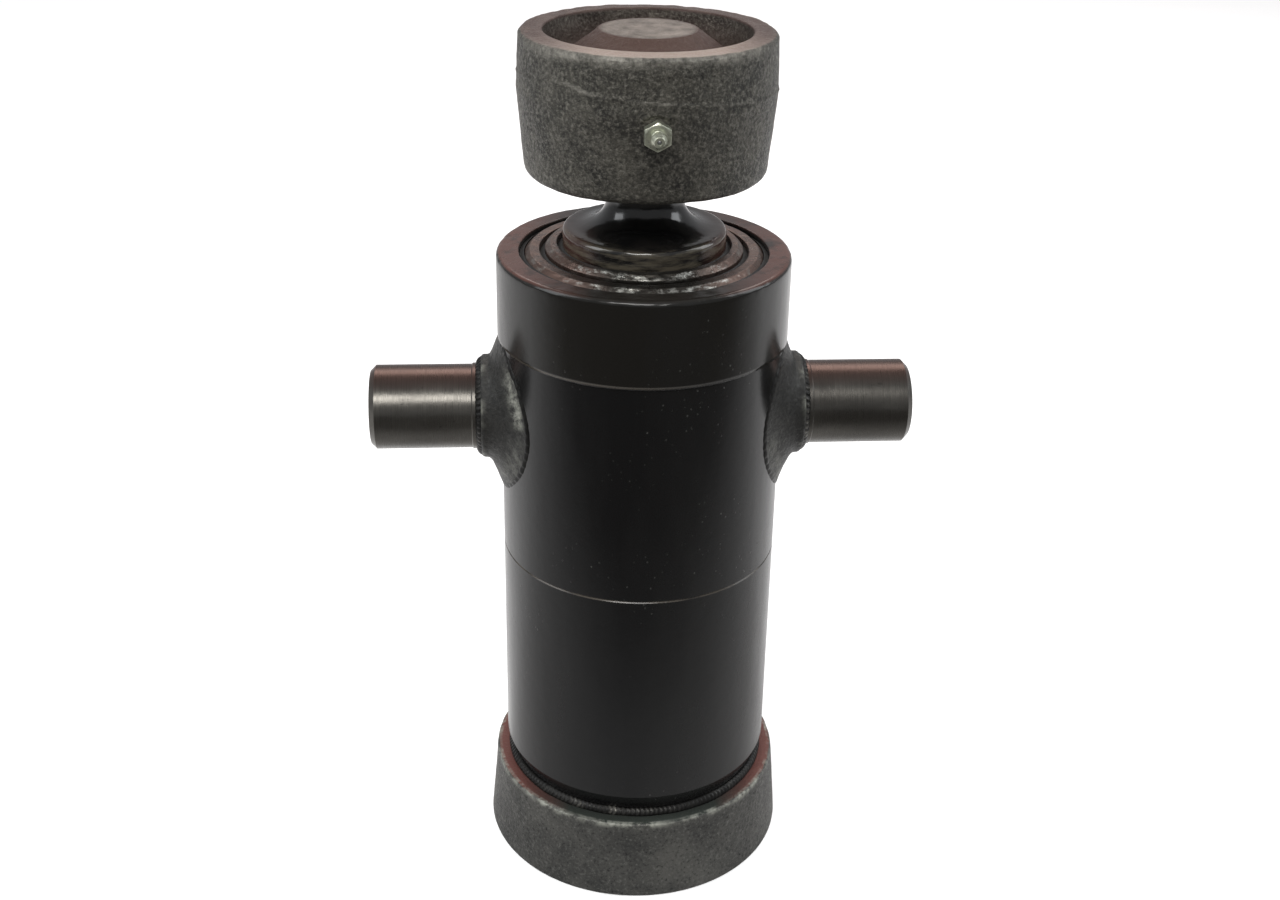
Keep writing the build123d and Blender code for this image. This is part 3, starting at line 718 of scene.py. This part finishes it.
def makeBase():
    # The casting's outline turned about Z, with a window left in its side for the port's own rings
    b = base
    line = outlineThrough([
        (1.0, 0, 0, 8),
        (60.0, 0, 0, 2.5),
        (b["foot"], 0, b["footRounding"], 0.6),
        (baseSide(b["windowLow"]), b["windowLow"], 0, 1.2),
        (baseSide(36.0), 36.0, 0, 0.6),
        (baseSide(b["windowHigh"]), b["windowHigh"], 0, 0.4),
        (b["top"], b["height"], b["topRounding"], 0.7),
        (62.0, b["height"], 0, 4),
        (57.0, b["height"], 0, 4),
        (57.0, b["height"] + 4, 0, 8),
        (1.0, b["height"] + 4, 0, 1),
    ])
    angles = denseAngles(288)
    points = turned(line, angles, baseDent)
    rows, columns = points.shape[:2]
    low = int(np.argmin(np.abs(line[:, 1] - b["windowLow"]) + (line[:, 0] < 70) * 99))
    high = int(np.argmin(np.abs(line[:, 1] - b["windowHigh"]) + (line[:, 0] < 70) * 99))
    left = int(np.argmin(np.abs(angles - (90 - b["windowHalf"]))))
    right = int(np.argmin(np.abs(angles - (90 + b["windowHalf"]))))
    index = np.arange(rows * columns).reshape(rows, columns)
    # the border runs with the window on its left, seen from outside
    loop = np.concatenate([
        index[low, left:right],
        index[low:high, right],
        index[high, right:left:-1],
        index[high:low:-1, left],
    ])
    faces = gridFaces(rows, columns)
    corner = faces[:, 0]
    row, column = corner // columns, corner % columns
    inside = (row >= low) & (row < high) & (column >= left) & (column < right)
    border = points.reshape(-1, 3)[loop]
    patch = portPatch(border, columns)
    rings = np.concatenate([border[None], patch])
    count = len(points.reshape(-1, 3))
    patchFaces = gridFaces(len(rings), len(loop), start=count)
    allPoints = np.vstack([points.reshape(-1, 3), rings.reshape(-1, 3)])
    poles = [
        (np.arange(columns), -1),
        (np.arange((rows - 1) * columns, rows * columns), 1),
        (np.arange(count + (len(rings) - 1) * len(loop), count + len(rings) * len(loop)), 1),
    ]
    radius, height = np.hypot(allPoints[:, 0], allPoints[:, 1]), allPoints[:, 2]
    edge = np.exp(-(((height - b["height"] + 0.9) / 1.5) ** 2)) * (radius > 70)
    attributes = {
        "rim": (height > b["height"] - 0.7) & (radius < b["top"] - 0.9) & (radius > 60),
        "wearAndHighlight": np.clip(edge * (0.75 + 0.7 * lumps(allPoints, 14, 41)), 0, 1),
        "painted": np.zeros(len(allPoints)),
    }
    piece = meshPiece("cast_base", allPoints, np.vstack([faces[~inside], patchFaces]), poles, attributes)
    weldDoubles(piece, 0.002)
    return piece


place(makeBase(), "barrel", "cast_steel_black", casting, "base_cap")


def rippledBead(name, centre, sideways, upward, halfWidth, crown, sunk, pitch, seed, bright, roughness=0.12):
    # A bead carried along a closed path. Across it the section is an ellipse, crown high above and sunk
    # deep below; along it the height swells in crescents: a saw wave of the path length less the square
    # of the distance from the middle, over the pitch. bright is how far each place is rubbed bright, and where it
    # rises towards the light it is a painted highlight.
    step = np.linalg.norm(np.roll(centre, -1, axis=0) - centre, axis=1)
    length = np.concatenate([[0], np.cumsum(step)[:-1]])
    pitch = step.sum() / round(step.sum() / pitch)
    angle = np.linspace(0, 2 * np.pi, 20, endpoint=False)[None, :]
    across, up = np.cos(angle), np.sin(angle)
    wave = np.mod((length[:, None] - 0.55 * halfWidth * (1 - across**2)) / pitch, 1)
    ripple = smooth(wave / 0.75) * smooth((1 - wave) / 0.25)
    random = lumps(np.repeat(centre[:, None, :], 20, axis=1), 9, seed)
    width = halfWidth * (1 + 0.10 * random + 0.05 * ripple)
    height = np.where(up > 0, crown * (0.86 + roughness * random + 0.26 * (ripple - 0.5)), sunk)
    section = (across * width)[..., None] * sideways[:, None, :] + (up * height)[..., None] * upward[:, None, :]
    points = centre[:, None, :] + section
    wearAndHighlight = np.clip(ripple * (up > 0.2) * (0.35 + 0.9 * lumps(points, 12, seed + 1)), 0, 1) * bright[:, None]
    faces = gridFaces(len(centre), 20)
    # the last row joins the first
    last = (len(centre) - 1) * 20 + np.arange(20)
    nextLast = (len(centre) - 1) * 20 + (np.arange(20) + 1) % 20
    first, nextFirst = np.arange(20), (np.arange(20) + 1) % 20
    faces = np.vstack([faces, np.stack([last, nextLast, nextFirst, first], axis=1)])
    piece = meshPiece(name, points, faces, attributes={"wearAndHighlight": wearAndHighlight})
    work = bmesh.new()
    work.from_mesh(piece.data)
    bmesh.ops.recalc_face_normals(work, faces=work.faces)
    work.to_mesh(piece.data)
    work.free()
    return piece


rootBead = dict(radius=64.4, height=43.7, width=2.1, crown=1.0, sunk=1.6, tilt=52.0, pitch=2.3,
                brightFrom=-124, brightTo=-98)


def makeRootBead():
    # Round the Z axis in the corner between the base and the barrel's bevel, facing out and up
    turn = np.linspace(0, 2 * np.pi, 1000, endpoint=False)
    outward = np.stack([np.cos(turn), np.sin(turn), 0 * turn], axis=1)
    up = np.array([0, 0, 1.0])
    tilt = math.radians(rootBead["tilt"])
    centre = outward * rootBead["radius"] + up * rootBead["height"]
    facing = outward * math.sin(tilt) + up * math.cos(tilt)
    sideways = outward * math.cos(tilt) - up * math.sin(tilt)
    angle = np.mod(np.degrees(turn) + 180, 360) - 180
    # bright: a painted highlight on the bead's crests at the front-left, towards the key light
    bright = smooth((angle - rootBead["brightFrom"]) / 6) * smooth((rootBead["brightTo"] - angle) / 6)
    return rippledBead("root_bead", centre, sideways, facing, rootBead["width"], rootBead["crown"],
                       rootBead["sunk"], rootBead["pitch"], 51, 0.12 + 0.88 * bright)


place(makeRootBead(), "barrel", "weld_bead", bead, "base_weld")

gland = dict(
    clearance=0.25,
    length=40.0,
    shoulder=1.5,
    wiperDepth=2.5,
    wiperHeight=7.0,
    sealDrop=10.0,
    sealHeight=7.0,
    sealDepth=4.75,
    guideDrop=20.0,
    guideHeight=14.0,
    guideDepth=2.75,
)
foot = dict(height=47.3, chamfer=1.0, land=5.0, guideHeight=14.0, guideSink=1.0, wireGap=4.5, wireLift=0.5, wireRadius=2.6)
rim = dict(chamfer=2.4, rounding=0.9, knock=0.30, columns=256)


def glandLine(rod, top, length, bore):
    # Down the inside of a gland: its mouth, the wiper's, seal's and guide's grooves and the shoulder
    g = gland
    land = rod + g["clearance"]
    line = [(rod + g["wiperDepth"], top, 0.5, 2), (rod + g["wiperDepth"], top - g["wiperHeight"], 0, 2),
            (land, top - g["wiperHeight"], 0, 3)]
    for kind in ("seal", "guide"):
        upper = top - g[kind + "Drop"]
        lower = upper - g[kind + "Height"]
        back = rod + g[kind + "Depth"]
        line += [(land, upper, 0, 3), (back, upper, 0, 5), (back, lower, 0, 3), (land, lower, 0, 5)]
    line += [(land, top - length + g["shoulder"], 0, 2), (land + g["shoulder"], top - length, 0, 3)]
    return line + [(bore, top - length, 0, 30)]


def rimDent(top):
    # Knocks and scrapes in the outer edge of a rim at one height: only ever inwards
    def dent(points, line, angles):
        edge = np.exp(-(((line[..., 1] - top + 1.0) / 1.3) ** 2))
        knocks = np.clip(0.1 + 0.8 * lumps(points, 4.5, 101) + 0.5 * lumps(points, 1.6, 103), 0, 1)
        return -edge * knocks * rim["knock"]
    return dent


def closedTube(name, corners, top, outer, columns):
    # A ring-shaped outline that ends where it begins, turned about Z, with its outer upper edge knocked and a painted
    # highlight along that edge, strongest in front
    line = outlineThrough(corners + corners[:1])
    angles = denseAngles(columns)
    points = turned(line, angles, rimDent(top))
    radius = np.broadcast_to(line[:, :1], points.shape[:2])
    height = np.broadcast_to(line[:, 1:], points.shape[:2])
    edge = np.exp(-(((height - top + 1.2) / 1.1) ** 2)) * (radius > outer - rim["chamfer"] - 0.4)
    # inFront weights a painted highlight along the outer upper edge towards the front, mixed with knocks and scratches
    inFront = 0.35 + 0.65 * smooth((np.cos(np.radians(angles + 92)) - 0.55) / 0.35)
    wearAndHighlight = np.clip(edge * inFront * (0.7 + 0.6 * lumps(points, 8, 107)), 0, 1)
    piece = meshPiece(name, points, gridFaces(*points.shape[:2]), attributes={"wearAndHighlight": wearAndHighlight})
    weldDoubles(piece, 0.001)
    return piece


def makeStage(name, node, rod, bore):
    # Up the outside with the foot's two grooves, over the chamfered rim and down the gland and bore
    f = foot
    outer, top = nodeBox(node)[1][[0, 2]]
    low = f["height"] + f["land"]
    wire = low + f["guideHeight"] + f["wireGap"]
    reach = math.acos(-f["wireLift"] / f["wireRadius"])
    arc = np.linspace(-reach, -2 * math.pi + reach, 9)
    corners = [(bore, f["height"], 0, 3), (outer - f["chamfer"], f["height"], 0, 1), (outer, f["height"] + f["chamfer"], 0, 3),
               (outer, low, 0, 1), (outer - f["guideSink"], low, 0, 4), (outer - f["guideSink"], low + f["guideHeight"], 0, 1),
               (outer, low + f["guideHeight"], 0, 2)]
    corners += [(outer + f["wireLift"] + f["wireRadius"] * math.cos(a), wire + f["wireRadius"] * math.sin(a), 0, 1) for a in arc]
    corners += [(outer, top - 12, 0, 2), (outer, top - rim["chamfer"], rim["rounding"], 0.4),
                (outer - rim["chamfer"], top, rim["rounding"], 0.6)]
    return closedTube(name, corners + glandLine(rod, top, gland["length"], bore), top, outer, rim["columns"])


def makeHead():
    # Up the head's outside, over its rounded rim, down its gland and back round the spigot in the barrel
    outer, top = nodeBox("gland_head")[1][[0, 2]]
    low = nodeBox("barrel_tube")[1][2]
    spigot = head["spigot"]
    corners = [(outer, low, 0.35, 1.5), (outer, top - 12, 0, 1.5), (outer, top, head["rounding"], 0.5)]
    corners += glandLine(head["rod"], top, top - low + head["spigotLength"], spigot)
    corners += [(spigot, low, 0, 2), (outer - 2, low, 0, 0.5)]
    return closedTube("head_collar", corners, top, outer, 300)


def makeBallEnd():
    # Spigot, flange, flared neck and ball as one outline turned about Z; its neck swells and sinks a little
    e = ballEnd
    joint = e["ball"] - math.sqrt(e["ballRadius"] ** 2 - e["neck"] ** 2)
    low = e["top"] - e["flange"]
    corners = outlineThrough([
        (1.0, low - e["spigotLength"], 0, 6), (e["spigot"], low - e["spigotLength"], 0, 4), (e["spigot"], low, 0, 2),
        (e["radius"], low, 0, 1.5), (e["radius"], e["top"], e["rounding"], 0.5),
        (e["neck"], e["top"], e["flare"], 1.0), (e["neck"], joint, 0, 1),
    ])
    turn = np.linspace(math.acos(e["neck"] / e["ballRadius"]), -math.radians(88), 60)[1:]
    ball = np.stack([e["ballRadius"] * np.cos(turn), e["ball"] - e["ballRadius"] * np.sin(turn)], axis=1)
    line = np.vstack([corners, ball])

    def dent(points, line, angles):
        height = line[..., 1]
        neck = smooth((height - e["top"] - 0.5) / 3) * smooth((joint - 1 - height) / 3)
        edge = np.exp(-(((height - e["top"] + 0.9) / 1.2) ** 2)) * (line[..., 0] > e["radius"] - 3)
        knocks = np.clip(0.6 * lumps(points, 5, 113) + 0.4 * lumps(points, 1.8, 115), 0, 1)
        return neck * (0.35 * lumps(points, 11, 111) - 0.2) - 0.22 * edge * knocks

    points = turned(line, denseAngles(240), dent)
    rows, columns = points.shape[:2]
    poles = [(np.arange(columns), -1), (np.arange((rows - 1) * columns, rows * columns), 1)]
    return meshPiece("ball_stem", points, gridFaces(rows, columns), poles)


head = dict(rounding=2.5, rod=55.0, spigot=58.95, spigotLength=6.0)
ballEnd = dict(ball=376.0, ballRadius=30.0, neck=17.5, flare=15.0, top=326.0, radius=37.5, rounding=2.4,
               flange=20.0, spigot=29.95, spigotLength=16.0)
place(makeHead(), "barrel", "gloss_black_paint", paint, "gland_head")
place(makeStage("outer_stage", "stage_1_tube", 45.5, 49.5), "stage_1", "ground_tube", rimSteel, "stage_1_tube")
place(makeStage("inner_stage", "stage_2_tube", 37.5, 41.5), "stage_2", "ground_tube", rimSteel, "stage_2_tube")
place(makeBallEnd(), "plunger", "ball_end_steel", wetBlack, "ball_end")

seam = dict(radius=66.6, height=273.7, width=0.75, crown=0.75)


def makeSeam():
    # Paint gathered in the corner under the head: a thin bead round the Z axis, facing out and down
    turn = np.linspace(0, 2 * np.pi, 480, endpoint=False)
    outward = np.stack([np.cos(turn), np.sin(turn), 0 * turn], axis=1)
    down = np.array([0, 0, -1.0])
    centre = outward * seam["radius"] - down * seam["height"]
    return rippledBead("seam_line", centre, down + 0 * outward, outward, seam["width"], seam["crown"], 0.4, 7.0, 91,
                       0 * turn, 0.4)


place(makeSeam(), "barrel", "gloss_black_paint", paint)

trunnion = dict(
    height=236.0,
    bossRadius=25.0,
    shoulder=72.5,
    reach=76.0,
    toeRadius=38.25,
    power=0.8,
    pinRoot=20.5,
    beadWidth=2.6,
    beadCrown=2.5,
    beadPitch=2.6,
    toeBeadWidth=1.5,
    toeBeadCrown=0.6,
    toeBeadPitch=4.5,
)


def barrelSurface(y):
    return np.sqrt(barrelRadius**2 - y**2)


def makeSaddle(side, name):
    # Rings round the pin's axis. From the toe, which lies on the barrel (x = root of R^2 - y^2), the flare
    # rises to the boss: x = shoulder - (shoulder - toe) * share ^ power, share running from 0 at the boss.
    t = trunnion
    turn = np.linspace(0, 2 * np.pi, 160, endpoint=False)
    cos, sin = np.cos(turn), np.sin(turn)
    rings, wearAndHighlight = [], []
    toe = barrelSurface(t["toeRadius"] * cos)
    for depth, radius in ((9, 20), (5, 30), (3.0, t["toeRadius"] - 0.4), (1.0, t["toeRadius"] - 0.2)):
        rings.append(np.stack([barrelSurface(radius * cos) - depth, radius * cos, radius * sin], axis=1))
    for share in np.linspace(1, 0.0, 22):
        radius = t["bossRadius"] + (t["toeRadius"] - t["bossRadius"]) * share
        flare = share ** t["power"] if share > 0 else 0
        x = t["shoulder"] - (t["shoulder"] - toe + 0.0) * flare + 0.9 * share * (share > 0)
        rings.append(np.stack([x, radius * cos, radius * sin], axis=1))
    for x, radius in ((t["shoulder"] + 0.8, t["bossRadius"] - 0.25), (t["reach"] - 1.0, t["bossRadius"] - 0.3),
                      (t["reach"] - 0.3, t["bossRadius"] - 0.6), (t["reach"], t["bossRadius"] - 1.2),
                      (t["reach"], 21.0), (t["reach"] - 3, 16.0)):
        rings.append(np.stack([np.full_like(cos, x), radius * cos, radius * sin], axis=1))
    points = np.stack(rings)
    outwards = np.stack([np.full(points.shape[:2], 0.75), points[..., 1] / 50, points[..., 2] / 50], axis=-1)
    rough = 0.28 * lumps(points, 8, 61) + 0.14 * lumps(points, 2.8, 63) - 0.15
    fade = np.ones(len(rings))
    fade[:4] = 0
    fade[-3:] = 0.2
    points = points + outwards * (rough * fade[:, None])[..., None]
    points[..., 2] += t["height"]
    points[..., 0] *= side
    rows = np.arange(len(rings))[:, None]
    upperFront = smooth((-cos - 0.45) / 0.3) * smooth((sin - 0.02) / 0.25) * smooth((0.88 - sin) / 0.25)
    lowerFront = smooth((-cos - 0.25) / 0.3) * smooth((0.1 - sin) / 0.4)
    ground = 1.3 * np.exp(-(((rows - 8) / 4.0) ** 2)) * upperFront[None, :] * (side < 0)
    ground += 0.22 * np.exp(-(((rows - 10) / 6.0) ** 2)) * lowerFront[None, :]
    # edge: a painted highlight along the front of the boss's outer edge
    edge = 0.6 * np.exp(-(((rows - 28) / 1.4) ** 2)) * (0.4 + lumps(points, 7, 67)) * (cos < 0)
    attributes = {
        "rim": np.zeros(points.shape[:2]),
        "wearAndHighlight": np.clip(ground * (0.8 + lumps(points, 10, 69)) + edge, 0, 1),
        "painted": np.full(points.shape[:2], 0.72) * np.clip(1 - ground, 0, 1),
    }
    count = points.shape[1]
    faces = gridFaces(*points.shape[:2])
    poles = [(np.arange(count), -1), (np.arange((len(rings) - 1) * count, len(rings) * count), 1)]
    piece = meshPiece(name, points, faces, poles, attributes)
    work = bmesh.new()
    work.from_mesh(piece.data)
    bmesh.ops.recalc_face_normals(work, faces=work.faces)
    work.to_mesh(piece.data)
    work.free()
    return piece


def makePinBead(side, name):
    # Round the pin's root against the boss face, facing out and away from the barrel
    t = trunnion
    turn = np.linspace(0, 2 * np.pi, 420, endpoint=False)
    outward = np.stack([0 * turn, np.cos(turn), np.sin(turn)], axis=1)
    away = np.array([side, 0, 0.0])
    centre = outward * (t["pinRoot"] + 1.1) + away * (t["reach"] + 0.4) + np.array([0, 0, t["height"]])
    facing = (outward + away) / math.sqrt(2)
    sideways = (outward - away) / math.sqrt(2)
    # bright: a painted highlight on the front of the pin bead, over rubbed crests all round
    bright = 0.15 + 0.6 * smooth((-np.cos(turn) - 0.1) / 0.6)
    return rippledBead(name, centre, sideways, facing, t["beadWidth"], t["beadCrown"] - 0.9, 1.0, t["beadPitch"],
                       71 + side, bright)


def makeToeBead(side, name):
    # Along the saddle's toe, a circle round the pin's axis laid on the barrel, facing halfway between
    # the barrel's normal and the direction away from the pin
    t = trunnion
    turn = np.linspace(0, 2 * np.pi, 720, endpoint=False)
    radius = t["toeRadius"] + 0.2
    y, z = radius * np.cos(turn), radius * np.sin(turn)
    x = barrelSurface(y)
    centre = np.stack([side * x, y, z + t["height"]], axis=1)
    normal = np.stack([side * x, y, 0 * y], axis=1) / barrelRadius
    outward = np.stack([0 * y, np.cos(turn), np.sin(turn)], axis=1)
    outward -= normal * np.sum(outward * normal, axis=1)[:, None]
    outward /= np.linalg.norm(outward, axis=1)[:, None]
    facing = normal + 0.45 * outward
    facing /= np.linalg.norm(facing, axis=1)[:, None]
    sideways = outward - facing * np.sum(outward * facing, axis=1)[:, None]
    sideways /= np.linalg.norm(sideways, axis=1)[:, None]
    return rippledBead(name, centre, sideways, facing, t["toeBeadWidth"], t["toeBeadCrown"], 1.0,
                       t["toeBeadPitch"], 81 + side, np.full(len(turn), 0.05), 0.3)


for side, hand in ((1, "right"), (-1, "left")):
    place(makeSaddle(side, f"saddle_{hand}"), "barrel", "cast_steel_black", casting, f"trunnion_saddle_{hand}")
    place(makePinBead(side, f"pin_bead_{hand}"), "barrel", "weld_bead", bead, f"trunnion_weld_{hand}")
    place(makeToeBead(side, f"toe_bead_{hand}"), "barrel", "weld_bead", bead)

nipple = dict(
    height=384.0,
    face=56.9,
    flat=5.5,
    hexHeight=5.5,
    chamfer=0.55,
    neck=2.5,
    neckTop=8.5,
    head=3.3,
    headTop=13.0,
    tip=2.2,
    mouth=1.0,
)


def makeNipple():
    # Turned about the nipple's own axis, along -Y. In the hexagon the radius is the flat's distance over
    # the cosine of the angle from the middle of its flat, no larger than the chamfer cone allows.
    n = nipple
    turn = np.radians(np.linspace(0, 360, 120, endpoint=False))
    corner = n["flat"] / np.cos(np.mod(turn + np.pi / 6, np.pi / 3) - np.pi / 6)
    widest = n["flat"] / math.cos(math.pi / 6)
    line = outlineThrough([
        (4.9, -5.0, 0, 2),
        (4.9, 0.0, 0, 0.4),
        (widest - 0.1, 0.05, 0, 0.3),
        (widest, n["chamfer"] * 0.6, 0, 0.6),
        (widest, n["hexHeight"] - n["chamfer"], 0, 0.2),
        (n["flat"] - 0.35, n["hexHeight"], 0, 0.4),
        (n["neck"], n["hexHeight"], 0.5, 0.3),
        (n["neck"], n["neckTop"] - 0.4, 0.4, 0.3),
        (n["head"], n["neckTop"] + 0.5, 0.35, 0.3),
        (n["head"], n["neckTop"] + 2.2, 0.5, 0.3),
        (n["tip"], n["headTop"], 0.3, 0.25),
        (n["mouth"], n["headTop"], 0.15, 0.2),
        (n["mouth"], n["headTop"] - 0.5, 0, 0.3),
        (1.5, n["headTop"] - 0.6, 0, 0.5),
        (1.5, n["headTop"] - 5.0, 0, 1),
    ])
    radius = np.broadcast_to(line[:, :1], (len(line), len(turn))).copy()
    out = np.broadcast_to(line[:, 1:], radius.shape)
    inHex = (out > 0.02) & (out <= n["hexHeight"] + 0.01) & (radius > n["neck"] + 1.4)
    radius = np.where(inHex, np.minimum(radius, corner[None, :]), radius)
    points = np.stack([radius * np.cos(turn), -n["face"] - out, n["height"] + radius * np.sin(turn)], axis=-1)
    rows, columns = points.shape[:2]
    poles = [(np.arange(columns), -1), (np.arange((rows - 1) * columns, rows * columns), 1)]
    piece = meshPiece("nipple_body", points, gridFaces(rows, columns), poles)
    work = bmesh.new()
    work.from_mesh(piece.data)
    bmesh.ops.recalc_face_normals(work, faces=work.faces)
    work.to_mesh(piece.data)
    work.free()
    return piece


place(makeNipple(), "cup", "zinc_plate", zinc, "grease_nipple")

# Camera: its place beside the object, its pitch and roll and its lens, from a fit to the photograph's outlines
view = dict(width=1280, height=900, focal=1596.0, centreRow=382.9, distance=694.4, rise=559.9, aside=-0.68,
            turn=0.07728, pitch=0.42382, roll=0.01935)


def makeCamera():
    v = view
    cos, sin = math.cos(v["turn"]), math.sin(v["turn"])
    x, y = v["aside"], -v["distance"]
    location = np.array([cos * x + sin * y, -sin * x + cos * y, v["rise"]]) * mm
    forward = np.array([sin * math.cos(v["pitch"]), cos * math.cos(v["pitch"]), -math.sin(v["pitch"])])
    right = np.array([cos, -sin, 0])
    up = np.cross(right, forward)
    r, s = math.cos(v["roll"]), math.sin(v["roll"])
    right, up = right * r + up * s, up * r - right * s
    data = bpy.data.cameras.new("camera")
    data.sensor_width = 36
    data.lens = v["focal"] / v["width"] * data.sensor_width
    data.shift_y = (v["centreRow"] - v["height"] / 2) / v["width"]
    data.clip_start, data.clip_end = 0.02, 100
    camera = bpy.data.objects.new("camera", data)
    matrix = Matrix([[*row, place_] for row, place_ in zip(np.stack([right, up, -forward], axis=1), location)] + [[0, 0, 0, 1]])
    camera.matrix_world = matrix
    bpy.context.scene.collection.objects.link(camera)
    bpy.context.scene.camera = camera


makeCamera()

studio = dict(
    floorSize=14.0,
    floorColour=(0.93, 0.93, 0.93),
    floorGlow=0.32,
    floorDark=(0.10, 0.095, 0.09),
    darkTo=-0.34,
    paleFrom=0.10,
    worldStrength=0.42,
)


def makeFloor():
    # A large pale floor, lifted a little for the camera alone. What the object mirrors of it is dark in
    # front, where the photographer stands, and pale at the sides and behind.
    size = studio["floorSize"]
    mesh = bpy.data.meshes.new("floor")
    mesh.from_pydata([(-size, -size, 0), (size, -size, 0), (size, size, 0), (-size, size, 0)], [], [(0, 1, 2, 3)])
    floor = bpy.data.objects.new("floor", mesh)
    bpy.context.scene.collection.objects.link(floor)
    f = Finish("paleFloor", Roughness=0.9, Specular_IOR_Level=0.1)
    path = f.nodes.new("ShaderNodeLightPath").outputs["Is Camera Ray"]
    behind = f.remap(f.axis("Y"), studio["darkTo"], studio["paleFrom"])
    mirrored = f.blend(behind, studio["floorDark"], studio["floorColour"])
    f.into("Base Color", f.blend(path, mirrored, studio["floorColour"]))
    f.into("Emission Color", studio["floorColour"])
    f.into("Emission Strength", f.sum("MULTIPLY", path, studio["floorGlow"]))
    mesh.materials.append(f.material)


def softbox(name, location, target, width, height, watts, colour):
    data = bpy.data.lights.new(name, "AREA")
    data.shape = "RECTANGLE"
    data.size, data.size_y = width, height
    data.energy = watts
    data.color = colour
    lamp = bpy.data.objects.new(name, data)
    position = np.array(location, float)
    forward = np.array(target, float) - position
    forward /= np.linalg.norm(forward)
    right = np.cross(forward, [0, 0, 1.0])
    right /= np.linalg.norm(right)
    up = np.cross(right, forward)
    lamp.matrix_world = Matrix([[*row, p] for row, p in zip(np.stack([right, up, -forward], axis=1), position)] + [[0, 0, 0, 1]])
    bpy.context.scene.collection.objects.link(lamp)


def makeLight():
    world = bpy.data.worlds.new("world")
    bpy.context.scene.world = world
    world.use_nodes = True
    background = world.node_tree.nodes["Background"]
    background.inputs["Color"].default_value = (0.97, 0.98, 1.0, 1)
    background.inputs["Strength"].default_value = studio["worldStrength"]
    softbox("key", (-0.35, -1.75, 2.05), (0, 0, 0.25), 1.3, 0.7, 34, (1.0, 0.985, 0.96))
    softbox("left", (-1.9, -0.3, 1.5), (0, 0, 0.2), 1.0, 1.8, 22, (0.95, 0.975, 1.0))
    softbox("right", (1.9, 0.1, 1.4), (0, 0, 0.2), 1.0, 1.8, 20, (0.94, 0.97, 1.0))
    softbox("back", (0.2, 1.7, 2.1), (0, 0, 0.3), 2.4, 1.0, 24, (1.0, 0.90, 0.85))


makeFloor()
makeLight()
print("camera, floor and light set")
